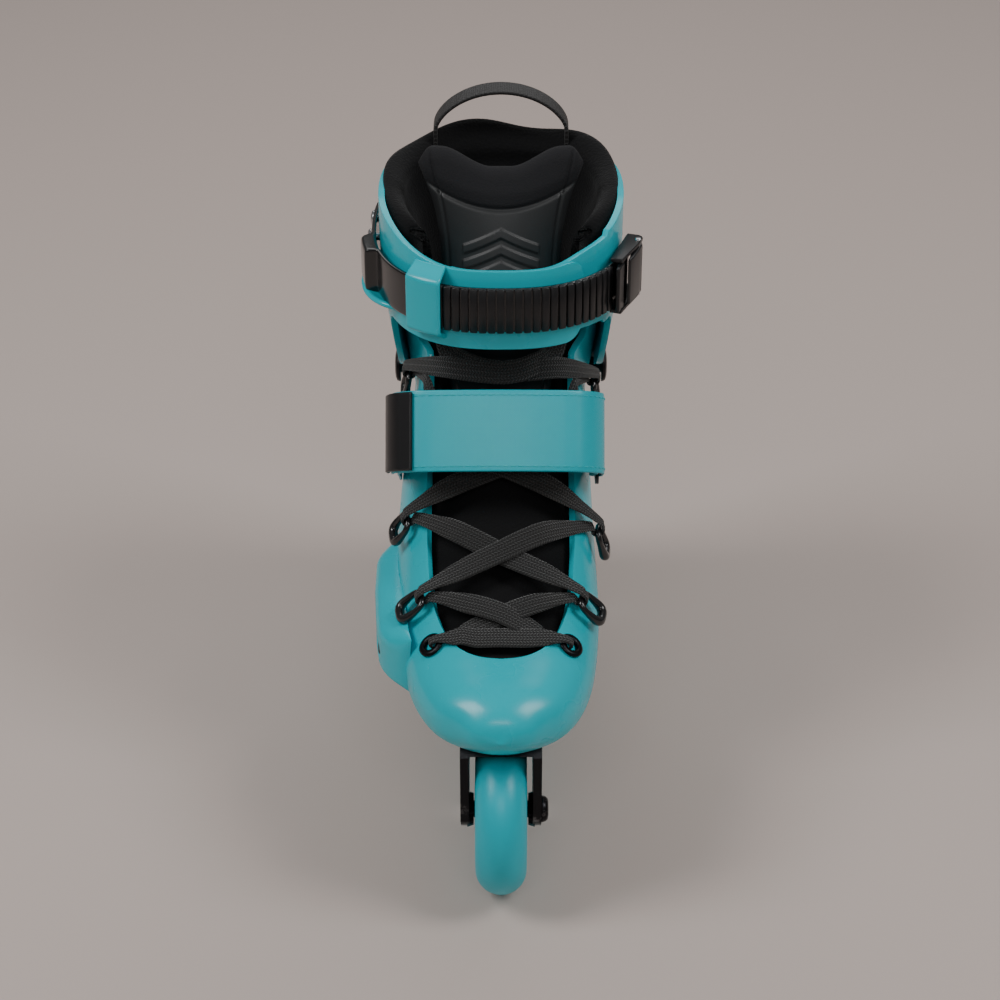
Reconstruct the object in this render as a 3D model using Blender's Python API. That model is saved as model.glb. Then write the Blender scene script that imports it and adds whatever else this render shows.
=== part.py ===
"""Right inline skate: hard-shell boot with a hinged cuff on a four-wheel chassis.

The row frame has +Z up, the toe towards -Y, and the inner side of the foot at +X.
The wheels stand on z = 0, x = 0 is the chassis's centre plane, and y = 0 is the
middle of the wheelbase. Sizes are in millimetres and are turned into metres as each
mesh is made.

The boot is a loft. Each of its sections is a closed curve between a point on top of
the foot (or on the shin) and a point under the sole (or behind the heel), so the
sections fan round the ankle. The shell, the liner, the wear plate, the lace and the
places of the loops are all read from that one loft.
"""
import math

import bmesh
import bpy
import numpy as np
from mathutils import Matrix, Vector
from mathutils.bvhtree import BVHTree

MM = 0.001
GAP = 0.3                    # clearance between pieces that touch

# Wheels and axles
WHEEL_RADIUS = 40.0
WHEEL_WIDTH = 24.0
AXLE_PITCH = 81.0
AXLE_Y = [(i - 1.5) * AXLE_PITCH for i in range(4)]
TYRE_INNER_RADIUS = 22.0
BEARING_RADIUS = 11.0
BEARING_WIDTH = 7.0
BEARING_INNER_FACE = 5.3     # distance of a bearing's inner face from the centre plane
AXLE_RADIUS = 3.95
SPACER_OUTER_RADIUS = 5.8

# Chassis
WALL_OUTER = 18.8
WALL_INNER = 14.8
BOSS_INNER = 12.8
DECK_UNDER = 81.5
FRONT_DECK_TOP = 85.4
REAR_DECK_TOP = 93.2
REAR_DECK_UNDER = 88.6
CHASSIS_FRONT = -136.0
CHASSIS_REAR = 137.0
MOUNT_BOLT_Y = 82.5          # front and rear boot bolts, 165 mm apart
PAD_OUTER = 19.6             # flat clamping pads milled proud of the walls

# Boot
SHELL_WALL = 3.2
LINER_WALL = 4.0
COLLAR_WALL = 9.0
THROAT_START = 4.5           # station where the throat begins
THROAT_HALF = 35.0
PIVOT_Y = 65.0
PIVOT_Z = 175.0

# Cuff
CUFF_WALL = 3.0
STRAP_MID_Z = 254.5
LADDER_WIDTH = 22.0
PULL_BASE = 292.0            # height of the pull loop's feet and of its top
PULL_TOP = 310.5

# One row for each station of the loft, toe tip first: top point (y, z), bottom or back
# point (y, z), half width on the outer (-X) side and on the inner (+X) side, height of
# the widest line as a share of the section, and the roundness of its top and its bottom.
STATIONS = np.array([
    (-158.0, 106.0, -157.8, 105.0, 1.0, 1.0, 0.50, 2.0, 2.0),
    (-155.0, 113.5, -155.0, 99.0, 12.0, 12.0, 0.50, 2.0, 2.1),
    (-149.0, 119.0, -148.0, 92.5, 20.0, 20.0, 0.50, 2.0, 2.3),
    (-140.0, 122.5, -138.0, 88.0, 30.0, 30.0, 0.46, 2.1, 2.7),
    (-128.0, 124.5, -124.0, 86.0, 37.0, 37.0, 0.44, 2.1, 3.2),
    (-112.0, 127.5, -106.0, 86.0, 42.5, 42.0, 0.42, 2.1, 3.8),
    (-92.0, 134.0, -84.0, 86.0, 46.0, 45.0, 0.40, 2.1, 4.2),
    (-70.0, 145.0, -58.0, 86.0, 48.5, 46.5, 0.38, 2.1, 4.2),
    (-48.0, 161.0, -28.0, 86.0, 50.0, 46.0, 0.38, 2.1, 4.2),
    (-30.0, 180.0, 5.0, 88.0, 50.0, 45.0, 0.38, 2.1, 4.0),
    (-18.0, 199.0, 42.0, 93.9, 48.0, 44.0, 0.42, 2.1, 3.6),
    (-11.0, 216.0, 80.0, 94.2, 45.0, 43.0, 0.46, 2.2, 3.2),
    (-7.0, 230.0, 108.0, 98.0, 43.0, 42.0, 0.50, 2.2, 2.9),
    (-6.0, 241.0, 120.0, 116.0, 42.5, 42.0, 0.50, 2.2, 2.5),
    (-6.5, 251.0, 123.0, 140.0, 42.5, 42.0, 0.50, 2.2, 2.4),
    (-8.0, 261.0, 119.0, 170.0, 44.5, 44.5, 0.50, 2.2, 2.3),
    (-9.5, 270.0, 113.0, 200.0, 49.0, 49.0, 0.50, 2.3, 2.4),
    (-10.0, 278.0, 108.5, 230.0, 53.0, 53.0, 0.50, 2.4, 2.4),
    (-9.0, 285.0, 106.0, 258.0, 55.0, 55.0, 0.50, 2.4, 2.4),
    (-7.0, 291.0, 104.0, 280.0, 55.4, 55.4, 0.50, 2.4, 2.4),
    (-4.0, 297.0, 101.0, 300.0, 54.8, 54.8, 0.50, 2.4, 2.4),
])

# Finishes: colour, roughness, metallic
FINISHES = {
    "teal_plastic": ((0.0, 0.45, 0.55, 1.0), 0.30, 0.0),
    "teal_urethane": ((0.0, 0.42, 0.50, 1.0), 0.35, 0.0),
    "teal_strap": ((0.0, 0.42, 0.52, 1.0), 0.40, 0.0),
    "black_plastic": ((0.015, 0.015, 0.016, 1.0), 0.35, 0.0),
    "black_aluminium": ((0.03, 0.03, 0.032, 1.0), 0.40, 1.0),
    "black_fabric": ((0.012, 0.012, 0.014, 1.0), 0.90, 0.0),
    "black_lace": ((0.02, 0.02, 0.022, 1.0), 0.85, 0.0),
    "steel": ((0.62, 0.62, 0.64, 1.0), 0.25, 1.0),
    "grey_foam": ((0.12, 0.12, 0.13, 1.0), 0.90, 0.0),
}


# ---------------------------------------------------------------- scene helpers

def clear_scene():
    """Remove every object of the open scene."""
    for item in list(bpy.data.objects):
        bpy.data.objects.remove(item, do_unlink=True)


def finish_material(name):
    """Return the Principled material of one finish, made once."""
    if name in bpy.data.materials:
        return bpy.data.materials[name]
    colour, roughness, metallic = FINISHES[name]
    material = bpy.data.materials.new(name)
    material.use_nodes = True
    shader = material.node_tree.nodes["Principled BSDF"]
    shader.inputs["Base Color"].default_value = colour
    shader.inputs["Roughness"].default_value = roughness
    shader.inputs["Metallic"].default_value = metallic
    material.diffuse_color = colour
    return material


def new_object(name, bm, finish, smooth=40.0):
    """Turn a bmesh in millimetres into a named, shaded object in metres."""
    bmesh.ops.scale(bm, vec=(MM, MM, MM), verts=bm.verts)
    mesh = bpy.data.meshes.new(name)
    bm.to_mesh(mesh)
    bm.free()
    mesh.shade_smooth()
    mesh.set_sharp_from_angle(angle=math.radians(smooth))
    item = bpy.data.objects.new(name, mesh)
    item.data.materials.append(finish_material(finish))
    bpy.context.scene.collection.objects.link(item)
    return item


def cutter_object(name, bm):
    """Make a hidden wire object that Boolean modifiers cut with."""
    item = new_object(name, bm, "steel")
    item.hide_render = True
    item.display_type = "WIRE"
    return item


def boolean(target, operation, cutter):
    """Add a Boolean modifier with the exact solver."""
    modifier = target.modifiers.new(cutter.name, "BOOLEAN")
    modifier.operation = operation
    modifier.solver = "EXACT"
    modifier.object = cutter


def hang_on(child, joint_name, place):
    """Parent an object to an empty on its joint's axis, leaving it where it is."""
    empty = bpy.data.objects.get(joint_name)
    if empty is None:
        empty = bpy.data.objects.new(joint_name, None)
        empty.location = Vector(place) * MM
        bpy.context.scene.collection.objects.link(empty)
    child.parent = empty
    child.matrix_parent_inverse = Matrix.Translation(-Vector(place) * MM)


# ---------------------------------------------------------------- mesh helpers

def frame_matrix(origin, axis, side=None):
    """Matrix whose local Z is an axis and whose local X is near a side direction."""
    z = Vector(axis).normalized()
    helper = Vector(side) if side is not None else Vector((1, 0, 0))
    if abs(z.dot(helper.normalized())) > 0.95:
        helper = Vector((0, 1, 0))
    y = z.cross(helper).normalized()
    x = y.cross(z)
    matrix = Matrix((x, y, z)).transposed().to_4x4()
    matrix.translation = Vector(origin)
    return matrix


def add_lathe(bm, profile, origin, axis, segments, turned=0.0):
    """Add a solid of revolution: a closed (radius, height) profile round an axis.

    The profile runs anticlockwise with the radius to the right and the height up. Points
    at radius zero become single poles.
    """
    place = frame_matrix(origin, axis)
    rings = []
    for radius, height in profile:
        if radius < 1e-6:
            rings.append([bm.verts.new(place @ Vector((0, 0, height)))])
            continue
        ring = []
        for i in range(segments):
            angle = turned + 2 * math.pi * i / segments
            local = Vector((radius * math.cos(angle), radius * math.sin(angle), height))
            ring.append(bm.verts.new(place @ local))
        rings.append(ring)
    for first, second in zip(rings, rings[1:] + rings[:1]):
        if len(first) == 1 and len(second) == 1:
            continue
        for i in range(segments):
            k = (i + 1) % segments
            corners = [first[i % len(first)], first[k % len(first)],
                       second[k % len(second)], second[i % len(second)]]
            bm.faces.new(list(dict.fromkeys(corners)))


def add_box(bm, low, high):
    """Add an axis-aligned box between two corners."""
    size = [b - a for a, b in zip(low, high)]
    middle = [(a + b) / 2 for a, b in zip(low, high)]
    matrix = Matrix.Translation(middle) @ Matrix.Diagonal((*size, 1.0))
    bmesh.ops.create_cube(bm, size=1.0, matrix=matrix)


def add_prism(bm, outline, low, high, place):
    """Extrude a closed outline, anticlockwise seen along -Z, between two local heights."""
    bottom = [bm.verts.new(place @ Vector((a, b, low))) for a, b in outline]
    top = [bm.verts.new(place @ Vector((a, b, high))) for a, b in outline]
    bm.faces.new(bottom[::-1])
    bm.faces.new(top)
    count = len(outline)
    for i in range(count):
        k = (i + 1) % count
        bm.faces.new([bottom[i], bottom[k], top[k], top[i]])


def side_view():
    """Matrix that lays an outline of (y, z) points upright, extruded along +X."""
    return Matrix(((0, 0, 1, 0), (1, 0, 0, 0), (0, 1, 0, 0), (0, 0, 0, 1)))


def grid_surface(rows):
    """Make a bmesh from rows of points, with coinciding points merged."""
    bm = bmesh.new()
    verts = [[bm.verts.new(Vector(point)) for point in row] for row in rows]
    for low, high in zip(verts, verts[1:]):
        for i in range(len(low) - 1):
            bm.faces.new([low[i], low[i + 1], high[i + 1], high[i]])
    bmesh.ops.remove_doubles(bm, verts=bm.verts, dist=0.02)
    bmesh.ops.dissolve_degenerate(bm, edges=bm.edges, dist=0.01)
    return bm


def thicken(bm, depth_at):
    """Give an open surface a wall on its inner side, depth_at(point) deep, and close it."""
    bm.normal_update()
    outer_faces = list(bm.faces)
    rim = [edge for edge in bm.edges if edge.is_boundary]
    twin = {}
    for vert in list(bm.verts):
        twin[vert] = bm.verts.new(vert.co - vert.normal * depth_at(vert.co))
    rim_loops = [edge.link_loops[0] for edge in rim]
    rim_pairs = [(loop.vert, loop.link_loop_next.vert) for loop in rim_loops]
    for face in outer_faces:
        bm.faces.new([twin[v] for v in reversed(face.verts)])
    for a, b in rim_pairs:
        bm.faces.new([b, a, twin[a], twin[b]])
    bm.normal_update()


def add_ribbon(bm, points, widths, normals, half_widths, half_thickness):
    """Sweep a flat strip along points: widths and normals are unit directions there."""
    rings = []
    for point, width, normal, half in zip(points, widths, normals, half_widths):
        across = Vector(width) * half
        up = Vector(normal) * half_thickness
        centre = Vector(point)
        corners = [centre - across - up, centre + across - up,
                   centre + across + up, centre - across + up]
        rings.append([bm.verts.new(corner) for corner in corners])
    for first, second in zip(rings, rings[1:]):
        for i in range(4):
            k = (i + 1) % 4
            bm.faces.new([first[i], first[k], second[k], second[i]])
    bm.faces.new(rings[0][::-1])
    bm.faces.new(rings[-1])
    bmesh.ops.recalc_face_normals(bm, faces=bm.faces)


def smooth_rows(table, places):
    """Read rows of a table at fractional places along Catmull-Rom curves."""
    table = np.asarray(table, float)
    places = np.clip(np.asarray(places, float), 0, len(table) - 1)
    first = np.minimum(places.astype(int), len(table) - 2)
    t = (places - first)[..., None]
    before, start, end, after = (
        table[np.clip(first + step, 0, len(table) - 1)] for step in (-1, 0, 1, 2))
    slope = end - before
    bend = 2 * before - 5 * start + 4 * end - after
    twist = 3 * (start - end) + after - before
    return start + 0.5 * t * (slope + t * (bend + t * twist))


# ---------------------------------------------------------------- the boot's loft

def signed_power(values, power):
    """Raise the size of each value to a power and keep its sign."""
    return np.sign(values) * np.abs(values) ** power


def section_frame(u, inset):
    """Centre, up direction, rises, half widths and exponents of one boot section.

    The inset is (top, bottom, side), how far the section shrinks from the outer form.
    """
    top_y, top_z, low_y, low_z, outer, inner, share, n_top, n_low = smooth_rows(STATIONS, u)
    top = np.array((top_y, top_z))
    low = np.array((low_y, low_z))
    length = np.hypot(*(top - low))
    up = (top - low) / length
    centre = low + (top - low) * share
    rise = length * (1 - share) - inset[0]
    drop = length * share - inset[1]
    return centre, up, rise, drop, inner - inset[2], outer - inset[2], n_top, n_low


def section_points(u, inset, angles):
    """Points of a boot section at angles from the top, round the inner side first."""
    centre, up, rise, drop, inner, outer, n_top, n_low = section_frame(u, inset)
    c, s = np.cos(angles), np.sin(angles)
    power = np.where(c >= 0, 2 / n_top, 2 / n_low)
    height = signed_power(c, power) * np.where(c >= 0, rise, drop)
    x = signed_power(s, power) * np.where(s >= 0, inner, outer)
    return np.stack([x, centre[0] + height * up[0], centre[1] + height * up[1]], axis=-1)


def throat_half_width(u, half=THROAT_HALF, start=THROAT_START):
    """Half width of the throat at a station: a round end that opens out to its sides."""
    share = np.clip((u - start) / 4.0, 0.0, 1.0)
    return half * math.sqrt(1 - (1 - share) ** 2.6)


def section_row(u, inset, opening, shares):
    """Evenly spread points of a section, from the inner edge of its opening to the outer."""
    _, _, _, _, inner, outer, n_top, _ = section_frame(u, inset)
    first = math.asin(min(1.0, opening / inner) ** (n_top / 2))
    last = 2 * math.pi - math.asin(min(1.0, opening / outer) ** (n_top / 2))
    dense = section_points(u, inset, np.linspace(first, last, 241))
    steps = np.linalg.norm(np.diff(dense, axis=0), axis=1)
    run = np.concatenate([[0.0], np.cumsum(steps)])
    wanted = np.asarray(shares) * run[-1]
    return np.stack([np.interp(wanted, run, dense[:, i]) for i in range(3)], axis=-1)


def dorsal_place(u, x, lift):
    """Point above the boot's top surface at a station and an x, and its outward normal."""
    def surface(station, across):
        _, _, _, _, inner, outer, n_top, _ = section_frame(station, (0, 0, 0))
        half = inner if across >= 0 else outer
        angle = math.asin(min(1.0, abs(across) / half) ** (n_top / 2))
        return section_points(station, (0, 0, 0), np.array([math.copysign(angle, across)]))[0]

    step = 0.05
    along = surface(u + step, x) - surface(u - step, x)
    across = surface(u, x + 0.5) - surface(u, x - 0.5)
    normal = np.cross(across, along)
    normal /= np.linalg.norm(normal)
    return surface(u, x) + normal * lift, normal


# ---------------------------------------------------------------- wheels

def ring_profile(inner, outer, low, high):
    """Rectangular (radius, height) profile of a plain ring."""
    return [(inner, low), (outer, low), (outer, high), (inner, high)]


def make_tyre(index, y):
    """Urethane tyre with a full round crown."""
    half = WHEEL_WIDTH / 2
    crown = WHEEL_RADIUS - half
    profile = [(TYRE_INNER_RADIUS + GAP, -10.0)]
    for step in range(7):
        angle = math.radians(-90 + 30 * step)
        profile.append((crown + half * math.cos(angle), half * math.sin(angle)))
    profile.append((TYRE_INNER_RADIUS + GAP, 10.0))
    bm = bmesh.new()
    add_lathe(bm, profile, (0, y, WHEEL_RADIUS), (1, 0, 0), 24)
    return new_object(f"tyre_{index}", bm, "teal_urethane", 60)


def make_wheel_core(index, y):
    """Wheel core: a rim for the tyre, a web, and seats for two bearings."""
    seat = BEARING_RADIUS + GAP
    stop = BEARING_INNER_FACE - GAP
    outside = BEARING_INNER_FACE + BEARING_WIDTH - 0.4
    profile = [
        (9.3, -stop), (seat, -stop), (seat, -outside), (14.5, -outside),
        (TYRE_INNER_RADIUS, -9.0), (TYRE_INNER_RADIUS, 9.0),
        (14.5, outside), (seat, outside), (seat, stop), (9.3, stop)]
    bm = bmesh.new()
    add_lathe(bm, profile, (0, y, WHEEL_RADIUS), (1, 0, 0), 16)
    return new_object(f"wheel_core_{index}", bm, "black_plastic", 30)


def make_bearing(name, y, low):
    """Ball bearing, 8 by 22 by 7, as one closed ring with its shield set back."""
    inner = AXLE_RADIUS + 0.08
    high = low + BEARING_WIDTH
    bm = bmesh.new()
    profile = ring_profile(inner, BEARING_RADIUS, low, high)
    add_lathe(bm, profile, (0, y, WHEEL_RADIUS), (1, 0, 0), 16)
    return new_object(name, bm, "steel", 30)


def make_spacer(index, y):
    """Tube that keeps the two bearings of a wheel apart."""
    half = BEARING_INNER_FACE - GAP
    bm = bmesh.new()
    profile = ring_profile(AXLE_RADIUS + 0.15, SPACER_OUTER_RADIUS, -half, half)
    add_lathe(bm, profile, (0, y, WHEEL_RADIUS), (1, 0, 0), 16)
    return new_object(f"bearing_spacer_{index}", bm, "black_aluminium", 30)


def make_axle(index, y):
    """One-piece axle bolt with a domed head on the inner side of the skate."""
    head = WALL_OUTER + GAP
    profile = [(0, -WALL_OUTER), (AXLE_RADIUS, -WALL_OUTER), (AXLE_RADIUS, head),
               (6.0, head), (5.6, head + 1.6), (3.4, head + 3.0), (0, head + 3.4)]
    bm = bmesh.new()
    add_lathe(bm, profile, (0, y, WHEEL_RADIUS), (1, 0, 0), 16)
    return new_object(f"axle_{index}", bm, "black_aluminium", 30)


def make_wheels():
    """Build the four wheels and their axles; tyre, core and bearings turn together."""
    for index, y in enumerate(AXLE_Y, start=1):
        turning = [
            make_tyre(index, y),
            make_wheel_core(index, y),
            make_bearing(f"bearing_{index}_outer", y, -BEARING_INNER_FACE - BEARING_WIDTH),
            make_bearing(f"bearing_{index}_inner", y, BEARING_INNER_FACE)]
        for item in turning:
            hang_on(item, f"wheel_spin_{index}", (0, y, WHEEL_RADIUS))
        make_spacer(index, y)
        make_axle(index, y)


# ---------------------------------------------------------------- chassis

def lower_edge(y):
    """Height of the chassis wall's lower edge: it dips round each axle."""
    dip = 0.0
    for axle in AXLE_Y:
        reach = abs(y - axle) / 17.0
        if reach < 1.0:
            dip = max(dip, math.cos(reach * math.pi / 2) ** 1.2)
    return 52.0 - 22.0 * dip


def chassis_outline():
    """Side outline (y, z) of the chassis, from the front lower corner round."""
    places = []
    for axle in AXLE_Y:
        places += [axle + step for step in (-17.0, -13.5, -9.0, 0.0, 9.0, 13.5, 17.0)]
    low = [(y, lower_edge(y)) for y in places if CHASSIS_FRONT < y < CHASSIS_REAR]
    rear = [(CHASSIS_REAR - 2.0, 42.0), (CHASSIS_REAR, 60.0), (CHASSIS_REAR, 86.0),
            (CHASSIS_REAR - 6.0, REAR_DECK_TOP)]
    front = [(47.0, REAR_DECK_TOP), (1.0, FRONT_DECK_TOP), (CHASSIS_FRONT + 4.0, FRONT_DECK_TOP),
             (CHASSIS_FRONT, 81.0), (CHASSIS_FRONT, 44.0)]
    return low + rear + front


def chassis_windows():
    """Cutter for the openings through both walls, one between each pair of wheels."""
    bm = bmesh.new()
    for middle in (-AXLE_PITCH, 0.0, AXLE_PITCH):
        top = 84.0 if middle > 40 else 74.0
        outline = [(middle - 6, 58), (middle + 6, 58), (middle + 16, top), (middle - 16, top)]
        add_prism(bm, outline, -30, 30, side_view())
    return cutter_object("window_cutter", bm)


def chassis_channel():
    """Cutter for the space between the walls, stepped up under the heel."""
    bm = bmesh.new()
    outline = [(-200, 10), (200, 10), (200, REAR_DECK_UNDER), (44, REAR_DECK_UNDER),
               (18, DECK_UNDER), (-200, DECK_UNDER)]
    add_prism(bm, outline, -WALL_INNER, WALL_INNER, side_view())
    return cutter_object("channel_cutter", bm)


def chassis_additions():
    """Bearing bosses inside the walls, the two boot platforms and the clamping pads."""
    bm = bmesh.new()
    for y in AXLE_Y:
        for side in (-1, 1):
            profile = [(0, BOSS_INNER), (7.5, BOSS_INNER), (8.5, WALL_INNER + 1),
                       (0, WALL_INNER + 1)]
            add_lathe(bm, profile, (0, y, WHEEL_RADIUS), (side, 0, 0), 16)
    add_box(bm, (-25, -114, DECK_UNDER), (25, -50, FRONT_DECK_TOP))
    add_box(bm, (-23, 50, REAR_DECK_UNDER), (23, 114, REAR_DECK_TOP))
    for side in (-1, 1):
        inner, outer = sorted((side * (WALL_OUTER - 1), side * PAD_OUTER))
        add_box(bm, (inner, -57, 54), (outer, -24, 74))
        add_box(bm, (inner, 24, 54), (outer, 57, 74))
    return cutter_object("chassis_additions", bm)


def chassis_holes():
    """Cutter for the axle holes and the two boot bolt holes."""
    bm = bmesh.new()
    for y in AXLE_Y:
        profile = [(0, -40), (AXLE_RADIUS + 0.3, -40), (AXLE_RADIUS + 0.3, 40), (0, 40)]
        add_lathe(bm, profile, (0, y, WHEEL_RADIUS), (1, 0, 0), 16)
    for y in (-MOUNT_BOLT_Y, MOUNT_BOLT_Y):
        profile = [(0, 76), (4.5, 76), (4.5, 100), (0, 100)]
        add_lathe(bm, profile, (0, y, 0), (0, 0, 1), 16)
    return cutter_object("chassis_hole_cutter", bm)


def make_chassis():
    """Milled aluminium channel that holds the wheels under the boot."""
    bm = bmesh.new()
    add_prism(bm, chassis_outline(), -WALL_OUTER, WALL_OUTER, side_view())
    chassis = new_object("chassis", bm, "black_aluminium", 30)
    boolean(chassis, "DIFFERENCE", chassis_channel())
    boolean(chassis, "DIFFERENCE", chassis_windows())
    boolean(chassis, "UNION", chassis_additions())
    boolean(chassis, "DIFFERENCE", chassis_holes())


def make_mount_bolts():
    """The two bolts that hold the chassis to the boot, from inside the channel."""
    places = (("mount_bolt_front", -MOUNT_BOLT_Y, DECK_UNDER, 89.0),
              ("mount_bolt_rear", MOUNT_BOLT_Y, REAR_DECK_UNDER, 97.0))
    for name, y, under, tip in places:
        seat = under - GAP
        profile = [(0, seat - 4.5), (5.4, seat - 4.5), (6.5, seat - 3.6), (6.5, seat),
                   (4.0, seat), (4.0, tip), (0, tip)]
        bm = bmesh.new()
        add_lathe(bm, profile, (0, y, 0), (0, 0, 1), 16)
        new_object(name, bm, "steel", 30)


# ---------------------------------------------------------------- boot shell

SHARES = np.linspace(0.0, 1.0, 23)
SOLE_INSIDE = SHELL_WALL + 1.4


def shell_top(share):
    """Station where the shell ends: behind the heel, at the ankles, and at the throat."""
    back = math.cos(math.pi * (share - 0.5)) ** 4
    front = abs(2 * share - 1) ** 3
    return 15.35 + 0.2 * back - 1.8 * front


def make_shell():
    """Hard outer shell, open along the throat and at the ankle."""
    lower = [0, 0.35, 1, 2, 3, 4, 4.5, 4.62, 4.85, 5.3, 5.9, 6.8, 7.8, 8.8, 10, 11, 12, 12.6,
             13.1]
    rows = [section_row(u, (0, 0, 0), throat_half_width(u), SHARES) for u in lower]
    for step in range(1, 4):
        points = []
        for share in SHARES:
            u = 13.1 + (shell_top(share) - 13.1) * step / 3
            points.append(section_row(u, (0, 0, 0), throat_half_width(u), [share])[0])
        rows.append(points)
    bm = grid_surface(rows)
    thicken(bm, lambda point: SHELL_WALL)
    shell = new_object("shell", bm, "teal_plastic", 50)
    boolean(shell, "DIFFERENCE", shell_holes())


def shell_holes():
    """Cutter for the holes of the bolts, the eyelets and the wear plate's screws."""
    bm = bmesh.new()
    for y, low in ((-MOUNT_BOLT_Y, 80), (MOUNT_BOLT_Y, 88)):
        profile = [(0, low), (4.5, low), (4.5, low + 12), (0, low + 12)]
        add_lathe(bm, profile, (0, y, 0), (0, 0, 1), 16)
    for side in (-1, 1):
        add_pin(bm, 4.5, 30, 60, (0, PIVOT_Y, PIVOT_Z), (side, 0, 0))
        place, normal = eyelet_place(side)
        add_pin(bm, 4.3, -9, 6, place, normal)
    for y in PLATE_SCREW_Y:
        add_pin(bm, 2.3, 36, 70, (0, y, PLATE_SCREW_Z), (-1, 0, 0))
    add_pin(bm, 3.4, 34, 60, (0, *ANCHOR_YZ), (-1, 0, 0))
    add_pin(bm, 3.4, 34, 60, (0, *RING_BOLT_YZ), (1, 0, 0))
    return cutter_object("shell_hole_cutter", bm)


def add_pin(bm, radius, low, high, origin, axis):
    """Add a plain cylinder between two distances along an axis."""
    add_lathe(bm, [(0, low), (radius, low), (radius, high), (0, high)], origin, axis, 16)


# ---------------------------------------------------------------- liner and insole

def ramp(value, low, high):
    """Straight ramp from nought to one between two limits."""
    return min(1.0, max(0.0, (value - low) / (high - low)))


def liner_inset(u):
    """Inset (top, bottom, side) of the liner's outer face from the boot's form."""
    toe = 4.5 * math.exp(-max(0.0, u - 1.6) / 0.9)
    heel = 6.6 * ramp(u, 8.0, 10.0) * (1 - ramp(u, 11.6, 12.8))
    vamp = 2.8 * (1 - ramp(u, 8.0, 9.5))
    slant = 2.2 * ramp(u, 11.8, 13.0) * (1 - ramp(u, 14.6, 16.0))
    collar = 2.6 * ramp(u, 15.8, 17.4)
    return (4.8 + vamp + toe - collar, SOLE_INSIDE + heel + slant + toe - 0.3 * collar,
            5.2 + toe + 0.4 * vamp - collar)


def liner_opening(u):
    """Half width of the liner's front opening, where the tongue lies."""
    return throat_half_width(u, 33.0, 8.8) + 9.0 * ramp(u, 12.8, 15.0)


def liner_top(share):
    """Station where the liner ends: raised behind, lower beside the tongue."""
    back = math.sin(math.pi * share) ** 1.2
    return 17.3 + 2.15 * back


def liner_wall(point):
    """Wall thickness: thin round the foot, a thick padded collar above the ankle."""
    climb = min(1.0, max(0.0, (point.z - 205.0) / 35.0))
    return LINER_WALL + (COLLAR_WALL - LINER_WALL) * climb * climb * (3 - 2 * climb)


def make_liner():
    """Padded inner boot with a front opening for the tongue."""
    shares = np.linspace(0.0, 1.0, 19)
    nose = section_row(1.75, liner_inset(1.75), 0.0, shares)
    middle = nose.mean(axis=0) + np.array((0.0, -0.8, 0.0))
    rows = [[middle] * len(shares), (middle + (nose - middle) * 0.6), nose]
    rows += [section_row(u, liner_inset(u), 0.0, shares) for u in (2.4, 3.2, 4.2, 5.4, 6.8, 8.0)]
    ankle = (8.8, 9.05, 9.6, 10.4, 11.2, 12.0, 12.6, 13.1)
    rows += [section_row(u, liner_inset(u), liner_opening(u), shares) for u in ankle]
    for step in range(1, 7):
        points = []
        for share in shares:
            u = 13.1 + (liner_top(share) - 13.1) * step / 6
            points.append(section_row(u, liner_inset(u), liner_opening(u), [share])[0])
        rows.append(points)
    bm = grid_surface(rows)
    thicken(bm, liner_wall)
    new_object("liner", bm, "black_fabric", 60)


def sole_height(y):
    """Height of the shell's outer sole along its middle."""
    return float(np.interp(y, (-124, -28, 5, 42, 80, 106), (86, 86, 88, 93.8, 94, 97.5)))


def add_sole_plate(bm, y_places, half_width, base, thickness):
    """Add a plate over the sole: half width and base height are functions of y."""
    rows_low, rows_high = [], []
    for y in y_places:
        half = half_width(y)
        xs = [half * k / 3 for k in (-3, -2, -1, 0, 1, 2, 3)]
        rows_low.append([(x, y, base(y)) for x in xs])
        rows_high.append([(x, y, base(y) + thickness) for x in xs])
    low = [[bm.verts.new(p) for p in row] for row in rows_low]
    high = [[bm.verts.new(p) for p in row] for row in rows_high]
    last = len(y_places) - 1
    for i in range(last):
        for k in range(6):
            bm.faces.new([low[i][k], low[i + 1][k], low[i + 1][k + 1], low[i][k + 1]])
            bm.faces.new([high[i][k], high[i][k + 1], high[i + 1][k + 1], high[i + 1][k]])
        for k in (0, 6):
            bm.faces.new([low[i][k], low[i + 1][k], high[i + 1][k], high[i][k]])
    for i in (0, last):
        for k in range(6):
            bm.faces.new([low[i][k], low[i][k + 1], high[i][k + 1], high[i][k]])
    bmesh.ops.recalc_face_normals(bm, faces=bm.faces)


def insole_half(y):
    """Half width of the insole: a foot's print, narrower at the arch and the heel."""
    return float(np.interp(y, (-132, -124, -112, -85, -40, 20, 60, 80, 88),
                           (10, 18, 23, 26, 23, 19, 18, 15, 9)))


def insole_base(y):
    """Height of the insole's lower face, just above the liner's floor."""
    heel = min(1.0, max(0.0, (y + 42) / 75))
    return sole_height(y) + SOLE_INSIDE + LINER_WALL + 2.0 + 6.4 * heel


def make_insole_and_pad():
    """Removable insole in the liner, and the shock pad under the liner's heel."""
    places = (-132, -124, -112, -85, -40, -15, 10, 35, 60, 80, 88)
    bm = bmesh.new()
    add_sole_plate(bm, places, insole_half, insole_base, 3.0)
    new_object("insole", bm, "grey_foam", 40)
    bm = bmesh.new()
    pad_half = lambda y: float(np.interp(y, (48, 56, 82, 92), (10, 16, 15, 9)))
    pad_base = lambda y: 99.2 + max(0.0, (y - 70) * 0.08)
    add_sole_plate(bm, (48, 56, 70, 82, 92), pad_half, pad_base, 2.6)
    new_object("shock_absorber", bm, "grey_foam", 40)


# ---------------------------------------------------------------- tongue

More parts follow.
